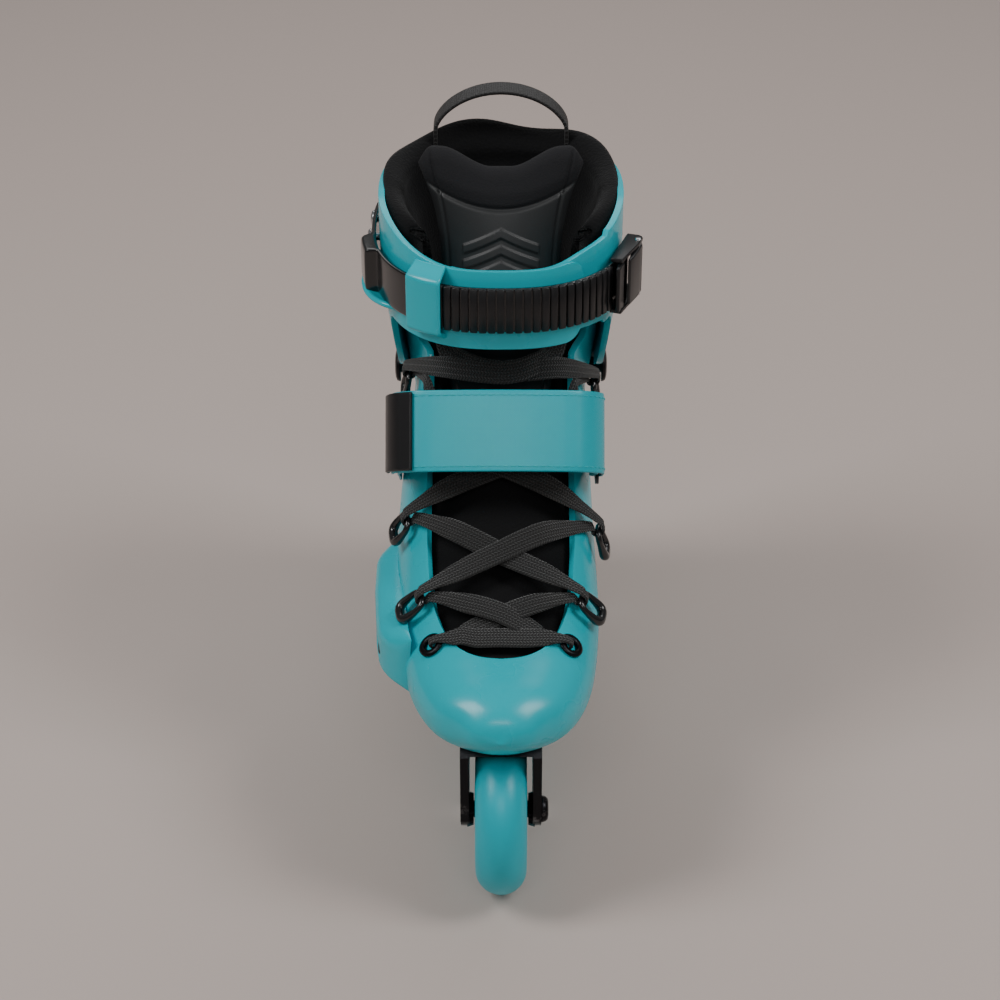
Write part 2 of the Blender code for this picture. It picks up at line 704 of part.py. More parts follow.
# Middle line of the tongue's front face (y, z), half width, and how far its sides curl back
TONGUE = np.array([
    (-30.0, 150.0, 15.0, 6.0),
    (-19.0, 168.0, 18.0, 8.0),
    (-9.5, 187.0, 22.0, 11.0),
    (-2.0, 206.0, 26.0, 14.0),
    (3.0, 225.0, 29.0, 15.0),
    (8.0, 243.0, 29.5, 15.0),
    (15.0, 260.0, 30.5, 13.0),
    (23.0, 276.0, 32.0, 11.0),
    (33.0, 291.0, 34.5, 8.0),
])
TONGUE_WALL = 6.0


def make_tongue():
    """Padded tongue behind the lace, leaning back into the open collar."""
    rows = []
    for place in np.linspace(0, len(TONGUE) - 1, 13):
        y, z, half, curl = smooth_rows(TONGUE, place)
        lift = 9.0 * max(0.0, (place - 7.2) / 0.8)
        points = []
        for share in np.linspace(-1, 1, 11):
            wing = lift * min(1.0, abs(share)) ** 1.5
            points.append((share * half, y + curl * share * share + wing * 0.5, z + wing))
        rows.append(points)
    bm = grid_surface(rows)
    thicken(bm, lambda point: TONGUE_WALL)
    new_object("tongue", bm, "black_fabric", 60)


# ---------------------------------------------------------------- wear plate

PLATE_SCREW_Y = (-78.0, -34.0)
PLATE_SCREW_Z = 103.0


def wear_plate_point(y, z, lift):
    """Point of the wear plate above the outer side of the boot's form."""
    width = float(np.interp(y, (-112, -106, -92, -70, -48, -28, 0, 20),
                            (41.5, 44.2, 46.8, 49.0, 50.4, 50.5, 50.2, 49.0)))
    tuck = 7.0 * max(0.0, (100.0 - z) / 14.0) ** 2.0 + 5.0 * max(0.0, (z - 110.0) / 22.0) ** 2
    return (-(width - tuck * 0.5 + lift), y, z)


def make_wear_plate():
    """Replaceable plate that takes the scrapes on the outer side of the forefoot."""
    rows_in, rows_out = [], []
    heights = np.linspace(91.0, 122.0, 7)
    lengths = np.linspace(-101.0, -8.0, 11)
    for y in lengths:
        along = min(1.0, (y - lengths[0]) / 22.0, (lengths[-1] - y) / 18.0)
        inner, outer = [], []
        for z in heights:
            up = min(1.0, (z - heights[0]) / 5.0, (heights[-1] - z) / 9.0)
            swell = 8.2 * math.sin(math.pi / 2 * along) ** 0.6 * math.sin(math.pi / 2 * up) ** 0.6
            inner.append(wear_plate_point(y, z, 0.8))
            outer.append(wear_plate_point(y, z, 1.8 + swell))
        rows_in.append(inner)
        rows_out.append(outer)
    bm = closed_sheet(rows_in, rows_out)
    plate = new_object("wear_plate", bm, "teal_plastic", 50)
    cutter = bmesh.new()
    for y in PLATE_SCREW_Y:
        profile = [(0, 36), (2.3, 36), (2.3, 55.2), (4.6, 55.2), (4.6, 70), (0, 70)]
        add_lathe(cutter, profile, (0, y, PLATE_SCREW_Z), (-1, 0, 0), 16)
    boolean(plate, "DIFFERENCE", cutter_object("plate_hole_cutter", cutter))
    for index, y in enumerate(PLATE_SCREW_Y, start=1):
        bm = bmesh.new()
        profile = [(0, 47.2), (2.0, 47.2), (2.0, 55.5), (4.2, 55.5), (4.2, 57.0), (2.6, 58.2),
                   (0, 58.4)]
        add_lathe(bm, profile, (0, y, PLATE_SCREW_Z), (-1, 0, 0), 12)
        new_object(f"plate_screw_{index}", bm, "black_plastic", 40)


def closed_sheet(rows_in, rows_out):
    """Close two matching grids of points into one solid."""
    bm = bmesh.new()
    low = [[bm.verts.new(p) for p in row] for row in rows_in]
    high = [[bm.verts.new(p) for p in row] for row in rows_out]
    count, across = len(low), len(low[0])
    for grid in (low, high):
        for i in range(count - 1):
            for k in range(across - 1):
                bm.faces.new([grid[i][k], grid[i][k + 1], grid[i + 1][k + 1], grid[i + 1][k]])
    for k in range(across - 1):
        for i in (0, count - 1):
            bm.faces.new([low[i][k], low[i][k + 1], high[i][k + 1], high[i][k]])
    for i in range(count - 1):
        for k in (0, across - 1):
            bm.faces.new([low[i][k], low[i + 1][k], high[i + 1][k], high[i][k]])
    bmesh.ops.recalc_face_normals(bm, faces=bm.faces)
    return bm


# ---------------------------------------------------------------- lace and its hardware

EYELET_STATION = 5.3
EYELET_X = 31.5
LOOP_LONG = 7.0              # half length, half width and bar radius of a lace loop
LOOP_SHORT = 5.2
LOOP_BAR = 1.4
# Level, station, x and the turn of the loop's long way towards the ankle, in degrees
LOOPS = {
    "lower": (6.40, 38.5, 14.0),
    "upper": (8.20, 43.5, 14.0),
    "top": (11.75, 41.0, 8.0),
}


def eyelet_place(side):
    """Place and outward normal of an eyelet in the shell."""
    return dorsal_place(EYELET_STATION, side * EYELET_X, 0.0)


def make_eyelets():
    """Two metal eyelets at the bottom of the throat."""
    for side, word in ((-1, "outer"), (1, "inner")):
        place, normal = eyelet_place(side)
        profile = [(2.9, -3.7), (3.9, -3.7), (3.9, 1.0), (6.2, 1.0), (5.6, 2.0), (3.4, 2.1),
                   (2.9, 1.4)]
        bm = bmesh.new()
        add_lathe(bm, profile, place, normal, 16)
        new_object(f"eyelet_{word}", bm, "black_aluminium", 40)


def loop_frame(level, side):
    """Centre, inward direction, direction along the boot and normal of a lace loop."""
    station, x, turn = LOOPS[level]
    place, normal = dorsal_place(station, side * x, 0.0)
    across = np.array((-float(side), 0.0, 0.0))
    across -= normal * across.dot(normal)
    across /= np.linalg.norm(across)
    along = np.cross(across, normal) * side
    angle = math.radians(turn)
    inward = across * math.cos(angle) + along * math.sin(angle)
    crosswise = along * math.cos(angle) - across * math.sin(angle)
    return place + normal * 5.0, inward, crosswise, normal


def make_lace_loops():
    """Six moulded loops beside the throat, which turn the lace back."""
    for level in LOOPS:
        for side, word in ((-1, "outer"), (1, "inner")):
            bm = bmesh.new()
            add_loop_ring(bm, *loop_frame(level, side))
            new_object(f"lace_loop_{level}_{word}", bm, "black_plastic", 60)


def add_loop_ring(bm, centre, inward, crosswise, normal):
    """Add an oval ring that lies above the shell, its long way across the throat's edge."""
    count, around = 12, 6
    rings = []
    for i in range(count):
        angle = 2 * math.pi * i / count
        way = inward * float(signed_power(math.cos(angle), 0.6)) * LOOP_LONG
        way += crosswise * float(signed_power(math.sin(angle), 0.6)) * LOOP_SHORT
        out = way / np.linalg.norm(way)
        ring = []
        for k in range(around):
            turn = 2 * math.pi * k / around
            bar = (out * math.cos(turn) + normal * math.sin(turn)) * LOOP_BAR
            ring.append(bm.verts.new(Vector(centre + way + bar)))
        rings.append(ring)
    for i in range(count):
        first, second = rings[i], rings[(i + 1) % count]
        for k in range(around):
            m = (k + 1) % around
            bm.faces.new([first[k], first[m], second[m], second[k]])
    bmesh.ops.recalc_face_normals(bm, faces=bm.faces)


# The lace's route on one side, from the middle of the bottom bar to its upper end. A stop
# is either station, x, lift above the boot's form and half width, or the name of the loop
# that the lace turns round there. On the other side x is turned over.
LACE_HALF = (
    (5.30, 0.0, -2.2, 4.3), (5.30, 12.0, -1.5, 4.3), (5.30, 22.0, 1.6, 3.6),
    (5.30, 27.6, 3.6, 2.2), (5.30, 31.0, 3.1, 2.0), (5.30, 31.6, 0.4, 2.0),
    (5.30, 31.4, -3.0, 2.0), (5.34, 28.6, -5.2, 2.2), (5.40, 23.5, -5.0, 3.0),
    (5.56, 16.0, -3.0, 4.2), (5.86, 0.0, 0.6, 4.3), (6.14, -16.0, 1.4, 4.0),
    "lower",
    (6.78, -20.0, 3.8, 4.0), (7.15, 0.0, 3.0, 4.3), (7.62, 20.0, 2.2, 4.2),
    "upper",
    (8.44, 24.0, 4.2, 4.0), (8.74, 0.0, 3.6, 4.3), (9.10, -20.0, 2.8, 4.2),
    (9.70, -28.0, 2.2, 4.0), (10.6, -31.0, 3.2, 3.4), (11.2, -33.0, 3.6, 2.6),
    "top",
    (12.1, -24.0, 4.0, 3.8), (12.0, 0.0, 3.0, 4.3), (12.3, 17.0, 1.6, 4.2),
    (13.2, 25.0, 1.0, 4.0), (15.0, 27.0, 0.4, 4.0),
)
LACE_THICK = 1.2
LACE_CLEAR = 1.5             # least height of the lace's middle above what it lies on


def loop_turn(level, side):
    """Stops round a loop's inner bar: under it, up through the ring, and back over it."""
    centre, inward, crosswise, normal = loop_frame(level, side)
    bar = centre + inward * LOOP_LONG
    rise = LOOP_BAR + LACE_THICK / 2 + 0.7
    return [
        (*(bar + inward * 3.6 - crosswise * 1.0 - normal * (rise - 0.3)), 2.8, *crosswise),
        (*(bar - inward * 0.3 - crosswise * 0.4 - normal * rise), 2.2, *crosswise),
        (*(bar - inward * (rise + 0.2)), 2.0, *crosswise),
        (*(bar - inward * 0.3 + crosswise * 0.4 + normal * rise), 2.2, *crosswise),
        (*(bar + inward * 3.6 + crosswise * 1.0 + normal * (rise - 0.3)), 2.8, *crosswise)]


def lace_stops(turn, drop):
    """Stops of one half of the lace: place, half width, and the loop's bar direction."""
    stops = []
    side = -turn
    for stop in LACE_HALF:
        if isinstance(stop, str):
            stops += loop_turn(stop, side)
            continue
        u, x, lift, half = stop
        side = side if abs(x) < 12.0 else math.copysign(1.0, x * turn)
        near_middle = max(0.0, 1 - abs(x) / 17.0) if u > 5.5 else 0.0
        place, _ = dorsal_place(u, x * turn, lift - drop * near_middle)
        stops.append((*place, half, 0.0, 0.0, 0.0))
    return stops


def lace_route():
    """Points, width directions, normals and half widths along the whole lace."""
    stops = np.array(lace_stops(-1, 2.6)[::-1] + lace_stops(1, 0.0)[1:])
    places = np.linspace(0, len(stops) - 1, 2 * len(stops) - 1)
    dense = smooth_rows(stops, places)
    for k in range(1, len(dense), 2):
        first, second = stops[k // 2], stops[k // 2 + 1]
        if np.any(first[4:]) and np.any(second[4:]) and max(first[3], second[3]) > 2.5:
            dense[k] = (first + second) / 2
    points, halves = dense[:, :3], dense[:, 3]
    tangents = np.gradient(points, axis=0)
    tangents /= np.linalg.norm(tangents, axis=1)[:, None]
    widths = []
    before = np.array((0.0, 1.0, 0.0))
    for point, tangent, bar in zip(points, tangents, dense[:, 4:]):
        pull = min(1.0, np.linalg.norm(bar) * 1.2)
        across = np.cross(tangent, boot_normal(point))
        across *= math.copysign(1.0 - pull, across.dot(before))
        bar = bar * math.copysign(pull, bar.dot(before))
        width = across + bar + before * 0.1
        width -= tangent * tangent.dot(width)
        before = width / np.linalg.norm(width)
        widths.append(before)
    widths = np.array(widths)
    return points, widths, np.cross(widths, tangents), halves


def boot_normal(point):
    """Rough outward direction of the boot's top above the foot at a point."""
    slope = np.interp(point[2], (120, 140, 165, 200, 240), (0.25, 0.55, 0.95, 1.25, 1.4))
    lean = np.clip(point[0] / 60.0, -0.8, 0.8)
    normal = np.array((lean, -math.sin(slope), math.cos(slope)))
    return normal / np.linalg.norm(normal)


def lay_clear(points, widths, ups, halves):
    """Lift the lace's samples until neither edge dips into the shell, liner or tongue."""
    trees = []
    for name in ("shell", "liner", "tongue"):
        bm = bmesh.new()
        bm.from_mesh(bpy.data.objects[name].data)
        trees.append(BVHTree.FromBMesh(bm))
        bm.free()
    for i, point in enumerate(points):
        for tree in trees:
            rise = 0.0
            for edge in (-1, 0, 1):
                place = Vector((point + widths[i] * halves[i] * edge) * MM)
                near, normal, _, _ = tree.find_nearest(place, 9.0 * MM)
                if near is None or np.dot(normal, boot_normal(point)) < 0.25:
                    continue
                rise = max(rise, LACE_CLEAR - (place - near).dot(normal) / MM)
            if 0.0 < rise < 7.0 and not through_shell(point):
                point += boot_normal(point) * rise
    return points


def through_shell(point):
    """True near an eyelet, where the lace goes down through the shell and back under it."""
    for side in (-1, 1):
        place, _ = eyelet_place(side)
        if np.linalg.norm(point - place) < 11.0 and abs(point[0]) > 20.0:
            return True
    return False


def make_lace():
    """Flat woven lace, one piece from end to end."""
    points, widths, ups, halves = lace_route()
    points = lay_clear(points, widths, ups, halves)
    bm = bmesh.new()
    add_ribbon(bm, points, widths, ups, halves, LACE_THICK / 2)
    new_object("lace", bm, "black_lace", 60)


# ---------------------------------------------------------------- instep strap


STRAP_FRONT = np.array((0.0, -35.5, 195.0))
STRAP_UP = np.array((0.0, 0.57, 0.82))
STRAP_BACK = np.array((0.0, 0.82, -0.57))
STRAP_HALF = 19.0
STRAP_OUTER_X = -51.2
STRAP_INNER_X = 48.2
STRAP_SHEET = 1.6            # thickness of one layer
ANCHOR_YZ = (21.0, 156.0)
RING_BOLT_YZ = (11.5, 161.2)


def strap_place(x, back):
    """Point of the strap's middle line: x across the boot, back towards the heel."""
    return STRAP_FRONT + STRAP_BACK * back + np.array((x, 0.0, 0.0))


def strap_curve(side_x, inset, length, spread=0.0):
    """One side of a strap layer: flat over the instep, a round corner, then back.

    Points run from the middle outwards. The inset moves the layer towards the foot, and
    the spread moves its rear end away from it.
    """
    side = math.copysign(1.0, side_x)
    reach = abs(side_x) - inset
    radius = 17.0 - inset
    bow = 1.6
    points = []
    for step in range(4):
        x = (reach - radius) * step / 4
        points.append(strap_place(side * x, inset + bow * (x / reach) ** 2))
    for step in range(5):
        angle = math.radians(22.5 * step)
        x = reach - radius + radius * math.sin(angle)
        sink = bow * ((reach - radius) / reach) ** 2
        points.append(strap_place(side * x, inset + sink + radius * (1 - math.cos(angle))))
    for share in (0.5, 1.0):
        x = side * (reach + spread * share)
        points.append(strap_place(x, radius + inset + length * share))
    return points


def strap_route():
    """Middle line of the strap from its bolt, over the instep, through the ring and back."""
    under = 2.8
    first = strap_curve(STRAP_OUTER_X, under, 51.0, 0.9)[::-1]
    first += strap_curve(STRAP_INNER_X, under, 15.2, -2.6)[1:]
    second = strap_curve(STRAP_INNER_X, 0.0, 18.0)[::-1]
    second += strap_curve(STRAP_OUTER_X, 0.0, 6.0)[1:-1]
    turn = [strap_place(STRAP_INNER_X - 2.3, 17.0 + 20.6)]
    return first + turn + second


def sheet_frames(points, up):
    """Width and normal directions of a strip whose width always lies along one direction."""
    points = np.array(points)
    tangents = np.gradient(points, axis=0)
    tangents /= np.linalg.norm(tangents, axis=1)[:, None]
    widths = np.repeat(np.array([up]), len(points), axis=0)
    normals = np.cross(tangents, widths)
    normals /= np.linalg.norm(normals, axis=1)[:, None]
    return points, widths, normals


def make_instep_strap():
    """Hook-and-loop strap over the instep, folded back on itself at its ring."""
    up = STRAP_UP / np.linalg.norm(STRAP_UP)
    points, widths, normals = sheet_frames(strap_route(), up)
    bm = bmesh.new()
    halves = [STRAP_HALF] * len(points)
    add_ribbon(bm, points, widths, normals, halves, STRAP_SHEET / 2)
    strap = new_object("instep_strap", bm, "teal_strap", 50)
    cutter = bmesh.new()
    add_pin(cutter, 3.4, 44, 60, (0, *ANCHOR_YZ), (-1, 0, 0))
    boolean(strap, "DIFFERENCE", cutter_object("strap_hole_cutter", cutter))


def make_strap_tab():
    """Moulded grip on the free end of the instep strap."""
    up = STRAP_UP / np.linalg.norm(STRAP_UP)
    curve = strap_curve(STRAP_OUTER_X, -2.4, 4.0)[4:]
    points, widths, normals = sheet_frames(curve, up)
    bm = bmesh.new()
    add_ribbon(bm, points, widths, normals, [STRAP_HALF - 0.6] * len(points), 1.0)
    new_object("strap_tab", bm, "black_plastic", 50)


def make_strap_hardware():
    """Bolt of the strap's fixed end, and the ring with its own bolt on the inner side."""
    bolts = (("strap_anchor_bolt", -1, ANCHOR_YZ, 42.8, 50.7),
             ("ring_bolt", 1, RING_BOLT_YZ, 39.8, 47.2))
    for name, side, (y, z), tip, seat in bolts:
        profile = [(0, tip), (3.0, tip), (3.0, seat), (6.2, seat), (5.8, seat + 1.4),
                   (3.8, seat + 2.2), (0, seat + 2.4)]
        bm = bmesh.new()
        add_lathe(bm, profile, (0, y, z), (side, 0, 0), 16)
        new_object(name, bm, "steel", 40)
    make_strap_ring()


def make_strap_ring():
    """Slotted ring on the inner side: the strap turns back round its front bar."""
    up = Vector(STRAP_UP).normalized()
    back = Vector(STRAP_BACK)
    place = Matrix((back, up, back.cross(up))).transposed().to_4x4()
    place.translation = Vector(strap_place(46.0, 33.6))
    half = STRAP_HALF + 3.4
    bm = bmesh.new()
    outline = [(-1.2, -half), (6.6, -half), (30.0, -8.5), (33.0, 0.0), (30.0, 8.5),
               (6.6, half), (-1.2, half)]
    add_prism(bm, outline, -0.8, 0.8, place)
    bmesh.ops.recalc_face_normals(bm, faces=bm.faces)
    ring = new_object("strap_ring", bm, "black_plastic", 40)
    cutter = bmesh.new()
    slot = STRAP_HALF + 0.8
    add_prism(cutter, [(1.0, -slot), (5.4, -slot), (5.4, slot), (1.0, slot)], -5, 5, place)
    bmesh.ops.recalc_face_normals(cutter, faces=cutter.faces)
    add_pin(cutter, 3.4, 40, 60, (0, *RING_BOLT_YZ), (1, 0, 0))
    boolean(ring, "DIFFERENCE", cutter_object("ring_slot_cutter", cutter))


# ---------------------------------------------------------------- cuff

# Height z, half width, back y, front y and roundness of the cuff's outer face
CUFF_LEVELS = np.array([
    (155.0, 49.5, 127.0, -24.0, 3.0),
    (175.0, 49.5, 125.5, -24.0, 2.9),
    (195.0, 50.5, 121.0, -24.5, 2.8),
    (215.0, 53.0, 116.0, -25.5, 2.6),
    (235.0, 56.0, 112.0, -26.0, 2.5),
    (255.0, 57.6, 109.0, -25.0, 2.4),
    (275.0, 58.0, 107.0, -21.5, 2.4),
    (295.0, 58.0, 105.0, -17.0, 2.4),
])


def cuff_outer(phi, z, lift):
    """Point of the cuff's outer face: phi in degrees from the front towards the inner side."""
    place = (z - CUFF_LEVELS[0][0]) / 20.0
    _, half, back, front, n = smooth_rows(CUFF_LEVELS, place)
    centre, depth = (back + front) / 2, (back - front) / 2
    angle = math.radians(phi)
    c, s = math.cos(angle), math.sin(angle)
    x = signed_power(s, 2 / n) * (half + lift)
    y = centre - signed_power(c, 2 / n) * (depth + lift)
    return np.array((float(x), float(y), z))


def bump(value, middle, reach):
    """Smooth hump of height one and half width reach."""
    t = min(1.0, abs(value - middle) / reach)
    return (1 - t * t) ** 2


def cuff_edges(phi):
    """Lower and upper edge heights of the cuff at an angle from the front."""
    turn = abs((phi + 180) % 360 - 180)
    arm = bump(turn, 109, 46)
    back = min(1.0, max(0.0, (turn - 106) / 34))
    low = 233.0 - 71.0 * arm - 60.0 * back * (1 - arm)
    rise = min(1.0, max(0.0, (turn - 15) / 70))
    high = 271.0 + 12.0 * rise * rise * (3 - 2 * rise)
    return low, high


def cuff_slide(phi):
    """How far the ribbon lies under its own outer flap near its inner end."""
    t = min(1.0, max(0.0, (62 - phi) / 26))
    return -4.2 * t * t * (3 - 2 * t)


CUFF_START = -22.0
CUFF_END = 388.0


def make_cuff():
    """Hinged cuff: one moulded ribbon whose front flaps overlap."""
    phis = [CUFF_START + step for step in range(0, 84, 12)]
    phis += [70 + step for step in range(0, 320, 11)]
    phis[-1] = CUFF_END
    rows = []
    for phi in phis:
        low, high = cuff_edges(phi)
        slide = cuff_slide(phi)
        if slide < -0.5:
            low, high = low + 2.0, high - 2.0
        rows.append([cuff_outer(phi, low + (high - low) * k / 5, slide) for k in range(6)])
    bm = grid_surface(rows)
    bmesh.ops.reverse_faces(bm, faces=bm.faces)
    thicken(bm, lambda point: CUFF_WALL)
    cuff = new_object("cuff", bm, "teal_plastic", 50)
    boolean(cuff, "UNION", strap_keeper())
    cutter = bmesh.new()
    for side in (-1, 1):
        add_pin(cutter, 4.6, 38, 62, (0, PIVOT_Y, PIVOT_Z), (side, 0, 0))
    boolean(cuff, "DIFFERENCE", cutter_object("cuff_hole_cutter", cutter))
    return cuff


def keeper_point(phi, rise, lift):
    """Point of the keeper: its bridge stands plumb over the strap, its feet on the cuff."""
    if lift < 4.0:
        return cuff_outer(phi, STRAP_MID_Z + rise, lift)
    return cuff_outer(phi, STRAP_MID_Z, lift) + np.array((0.0, 0.0, rise))


def strap_keeper():
    """Bridge moulded on the cuff's front, which the ladder strap passes under."""
    rows_in, rows_out = [], []
    half = LADDER_WIDTH / 2 + 1.2
    for phi in (-46, -41, -36, -31):
        heights = (-half - 4.0, -half, half, half + 4.0)
        rows_in.append([keeper_point(phi, dz, lift) for dz, lift in
                        zip(heights, (-1.0, 4.9, 4.9, -1.0))])
        rows_out.append([keeper_point(phi, dz, lift) for dz, lift in
                         zip(heights, (2.0, 6.9, 6.9, 2.0))])
    return cutter_object("strap_keeper", closed_sheet(rows_in, rows_out))


def make_cuff_bolts():
    """Two pivot bolts that join the cuff to the shell at the ankle."""
    for side, word in ((-1, "outer"), (1, "inner")):
        profile = [(0, 38.8), (4.0, 38.8), (4.0, 50.4), (8.5, 50.4), (8.0, 52.2), (5.0, 53.2),
                   (0, 53.4)]
        bm = bmesh.new()
        add_lathe(bm, profile, (0, PIVOT_Y, PIVOT_Z), (side, 0, 0), 16)
        new_object(f"cuff_bolt_{word}", bm, "black_aluminium", 40)


# ---------------------------------------------------------------- ladder strap and buckle

LADDER_LIFT = 2.9
LADDER_THICK = 2.4
BLOCK_THICK = 7.7            # the strap's moulded block beside the base
BUCKLE_PHI = 66.0
BLOCK_PHI = -76.0


def make_ladder_strap():
    """Toothed strap round the front of the cuff, screwed down on the outer side."""
    phis = [-104, -98, -92, -86, -83.5, -82.5, -76, -69.5, -68.5, -66, -60, -52, -44, -36, -28, -20,
            -10, 0, 10, 20, 30, 40, 50, 60, 70, 78]
    points, halves = [], []
    for phi in phis:
        thick = BLOCK_THICK if abs(phi - BLOCK_PHI) < 7 else LADDER_THICK
        lift = LADDER_LIFT + (thick - LADDER_THICK) / 2
        points.append(cuff_outer(phi, STRAP_MID_Z, lift))
        halves.append(thick / 2)
    _, widths, normals = ladder_strip(phis)
    bm = bmesh.new()
    add_ribbon(bm, points, normals, widths, halves, LADDER_WIDTH / 2)
    strap = new_object("ladder_strap", bm, "black_plastic", 40)
    cutter = bmesh.new()
    for place, normal in ladder_screw_places():
        add_pin(cutter, 2.2, -8, 8, place, normal)
    cutter = cutter_object("ladder_hole_cutter", cutter)
    boolean(strap, "DIFFERENCE", cutter)
    boolean(bpy.data.objects["cuff"], "DIFFERENCE", cutter)
    return strap


def ladder_strip(phis):
    """Points, widths and normals of a strip that lies on the cuff at strap height."""
    points = [cuff_outer(phi, STRAP_MID_Z, LADDER_LIFT) for phi in phis]
    return sheet_frames(points, np.array((0.0, 0.0, 1.0)))


def ladder_screw_places():
    """Places on the strap's base, and outward normals, of its two screws."""
    places = []
    for phi in (-100.0, -88.0):
        here = cuff_outer(phi, STRAP_MID_Z + 5.0, LADDER_LIFT)
        ahead = cuff_outer(phi + 1, STRAP_MID_Z + 5.0, LADDER_LIFT)
        along = (ahead - here) / np.linalg.norm(ahead - here)
        places.append((here, np.cross(along, (0.0, 0.0, 1.0))))
    return places


def make_ladder_screws():
    """Two bright screws that fix the ladder strap's base to the cuff."""
    items = []
    for index, (place, normal) in enumerate(ladder_screw_places(), start=1):
        base = LADDER_THICK / 2 + GAP
        profile = [(0, -3.6), (1.8, -3.6), (1.8, base), (3.9, base), (3.6, base + 1.0),
                   (2.4, base + 1.6), (0, base + 1.6)]
        bm = bmesh.new()
        add_lathe(bm, profile, place, normal, 12)
        items.append(new_object(f"ladder_screw_{index}", bm, "steel", 40))
    return items


def buckle_matrix():
    """Local frame of the buckle: X along the strap to the rear, Y up, Z outwards."""
    here = cuff_outer(BUCKLE_PHI, STRAP_MID_Z, 0.0)
    ahead = cuff_outer(BUCKLE_PHI + 6, STRAP_MID_Z, 0.0)
    behind = cuff_outer(BUCKLE_PHI - 6, STRAP_MID_Z, 0.0)
    along = Vector(ahead - behind).normalized()
    outward = along.cross(Vector((0, 0, 1)))
    matrix = Matrix((along, Vector((0, 0, 1)), outward)).transposed().to_4x4()
    matrix.translation = Vector(here)
    return matrix


EAR_INNER = 12.0             # half the buckle's inner width
EAR_THICK = 2.2
PIN_LOCAL = (9.0, 8.3)       # the lever pin's place: along the strap, outwards
TAB_LOCAL = (-11.0, 6.4)     # the release tab's place
PIN_RADIUS = 1.6


def buckle_side(place):
    """Matrix for outlines drawn as (along the strap, outwards), extruded along the pin."""
    return place @ Matrix(((1, 0, 0, 0), (0, 0, 1, 0), (0, 1, 0, 0), (0, 0, 0, 1)))


def buckle_point(local):
    """World place of a buckle point given as (along the strap, outwards)."""
    return buckle_matrix() @ Vector((local[0], 0.0, local[1]))


def buckle_solid(outline, low, high, name, finish):
    """Make one extruded piece of the buckle."""
    bm = bmesh.new()
    add_prism(bm, outline, low, high, buckle_side(buckle_matrix()))
    bmesh.ops.recalc_face_normals(bm, faces=bm.faces)
    if finish is None:
        return cutter_object(name, bm)
    return new_object(name, bm, finish, 30)


def pin_cutter(name, local, radius):
    """Cutter for a hole right through the buckle on one of its pivots."""
    bm = bmesh.new()
    add_pin(bm, radius, -20, 20, buckle_point(local), (0, 0, 1))
    return cutter_object(name, bm)


def make_buckle():
    """Ratchet buckle: base, lever on its pin, and the release tab in front of it."""
    ear = [(-14, 1.6), (14, 1.6), (14, 7.6), (12, 9.8), (6, 9.8), (-6, 8.2), (-14, 7.4)]
    width = EAR_INNER + EAR_THICK
    base = buckle_solid(ear, -width, width, "buckle_base", "black_plastic")
    inside = [(-30, -5), (30, -5), (30, 4.7), (-30, 4.7)]
    above = [(-30, 6.3), (30, 6.3), (30, 30), (-30, 30)]
    behind = [(-0.5, 3.0), (30, 3.0), (30, 7.0), (-0.5, 7.0)]
    ahead = [(-30, 3.0), (-6.5, 3.0), (-6.5, 7.0), (-30, 7.0)]
    for name, outline in (("under", inside), ("above", above), ("behind", behind), ("ahead", ahead)):
        cutter = buckle_solid(outline, -EAR_INNER, EAR_INNER, f"buckle_{name}_cutter", None)
        boolean(base, "DIFFERENCE", cutter)
    hole = pin_cutter("buckle_pin_cutter", PIN_LOCAL, PIN_RADIUS + 0.3)
    boolean(base, "DIFFERENCE", hole)
    lever_outline = [(12.6, 7.0), (13.0, 9.0), (10.0, 10.34), (-3.0, 10.3), (-8.0, 9.8),
                     (-8.6, 8.6), (-3.0, 8.0), (3.0, 6.8), (11.0, 5.4)]
    lever = buckle_solid(lever_outline, -EAR_INNER + 0.4, EAR_INNER - 0.4, "buckle_lever",
                         "black_plastic")
    boolean(lever, "DIFFERENCE", hole)
    bm = bmesh.new()
    reach = EAR_INNER + EAR_THICK + 0.6
    add_pin(bm, PIN_RADIUS, -reach, reach, buckle_point(PIN_LOCAL), (0, 0, 1))
    new_object("buckle_pin", bm, "steel", 30)
    tab_outline = [(-18.5, 5.6), (-12.0, 5.0), (-9.6, 5.2), (-9.2, 6.8), (-11.4, 7.8),
                   (-18.5, 7.6)]
    tab = buckle_solid(tab_outline, -EAR_INNER + 0.6, EAR_INNER - 0.6, "release_tab",
                       "black_plastic")
    hang_on(lever, "buckle_lever_pivot", buckle_point(PIN_LOCAL))
    hang_on(tab, "release_tab_pivot", buckle_point(TAB_LOCAL))


def make_pull_loop():
    """Tape loop that stands on the back of the liner's collar."""
    count = 13
    points, widths, normals = [], [], []
    for k in range(count):
        angle = math.pi * k / (count - 1)
        x, z = -32.0 * math.cos(angle), PULL_BASE + (PULL_TOP - PULL_BASE) * math.sin(angle)
        points.append(np.array((x, 94.0 + 3.0 * math.sin(angle), z)))
        out = np.array((-math.cos(angle) * 22.0, 0.0, math.sin(angle) * 32.0))
        normals.append(out / np.linalg.norm(out))
        widths.append(np.array((0.0, 1.0, 0.0)))
    bm = bmesh.new()
    add_ribbon(bm, points, widths, normals, [6.5] * count, 1.1)
    new_object("pull_loop", bm, "black_fabric", 60)


CUFF_PIECES = ("cuff", "ladder_strap", "ladder_screw_1", "ladder_screw_2", "buckle_base",
               "buckle_pin", "pull_loop")


def hang_cuff():
    """Hang the cuff and what it carries on the ankle pivot."""
    for name in CUFF_PIECES:
        hang_on(bpy.data.objects[name], "cuff_flex", (0, PIVOT_Y, PIVOT_Z))
    for name in ("buckle_lever_pivot", "release_tab_pivot"):
        hang_on(bpy.data.objects[name], "cuff_flex", (0, PIVOT_Y, PIVOT_Z))


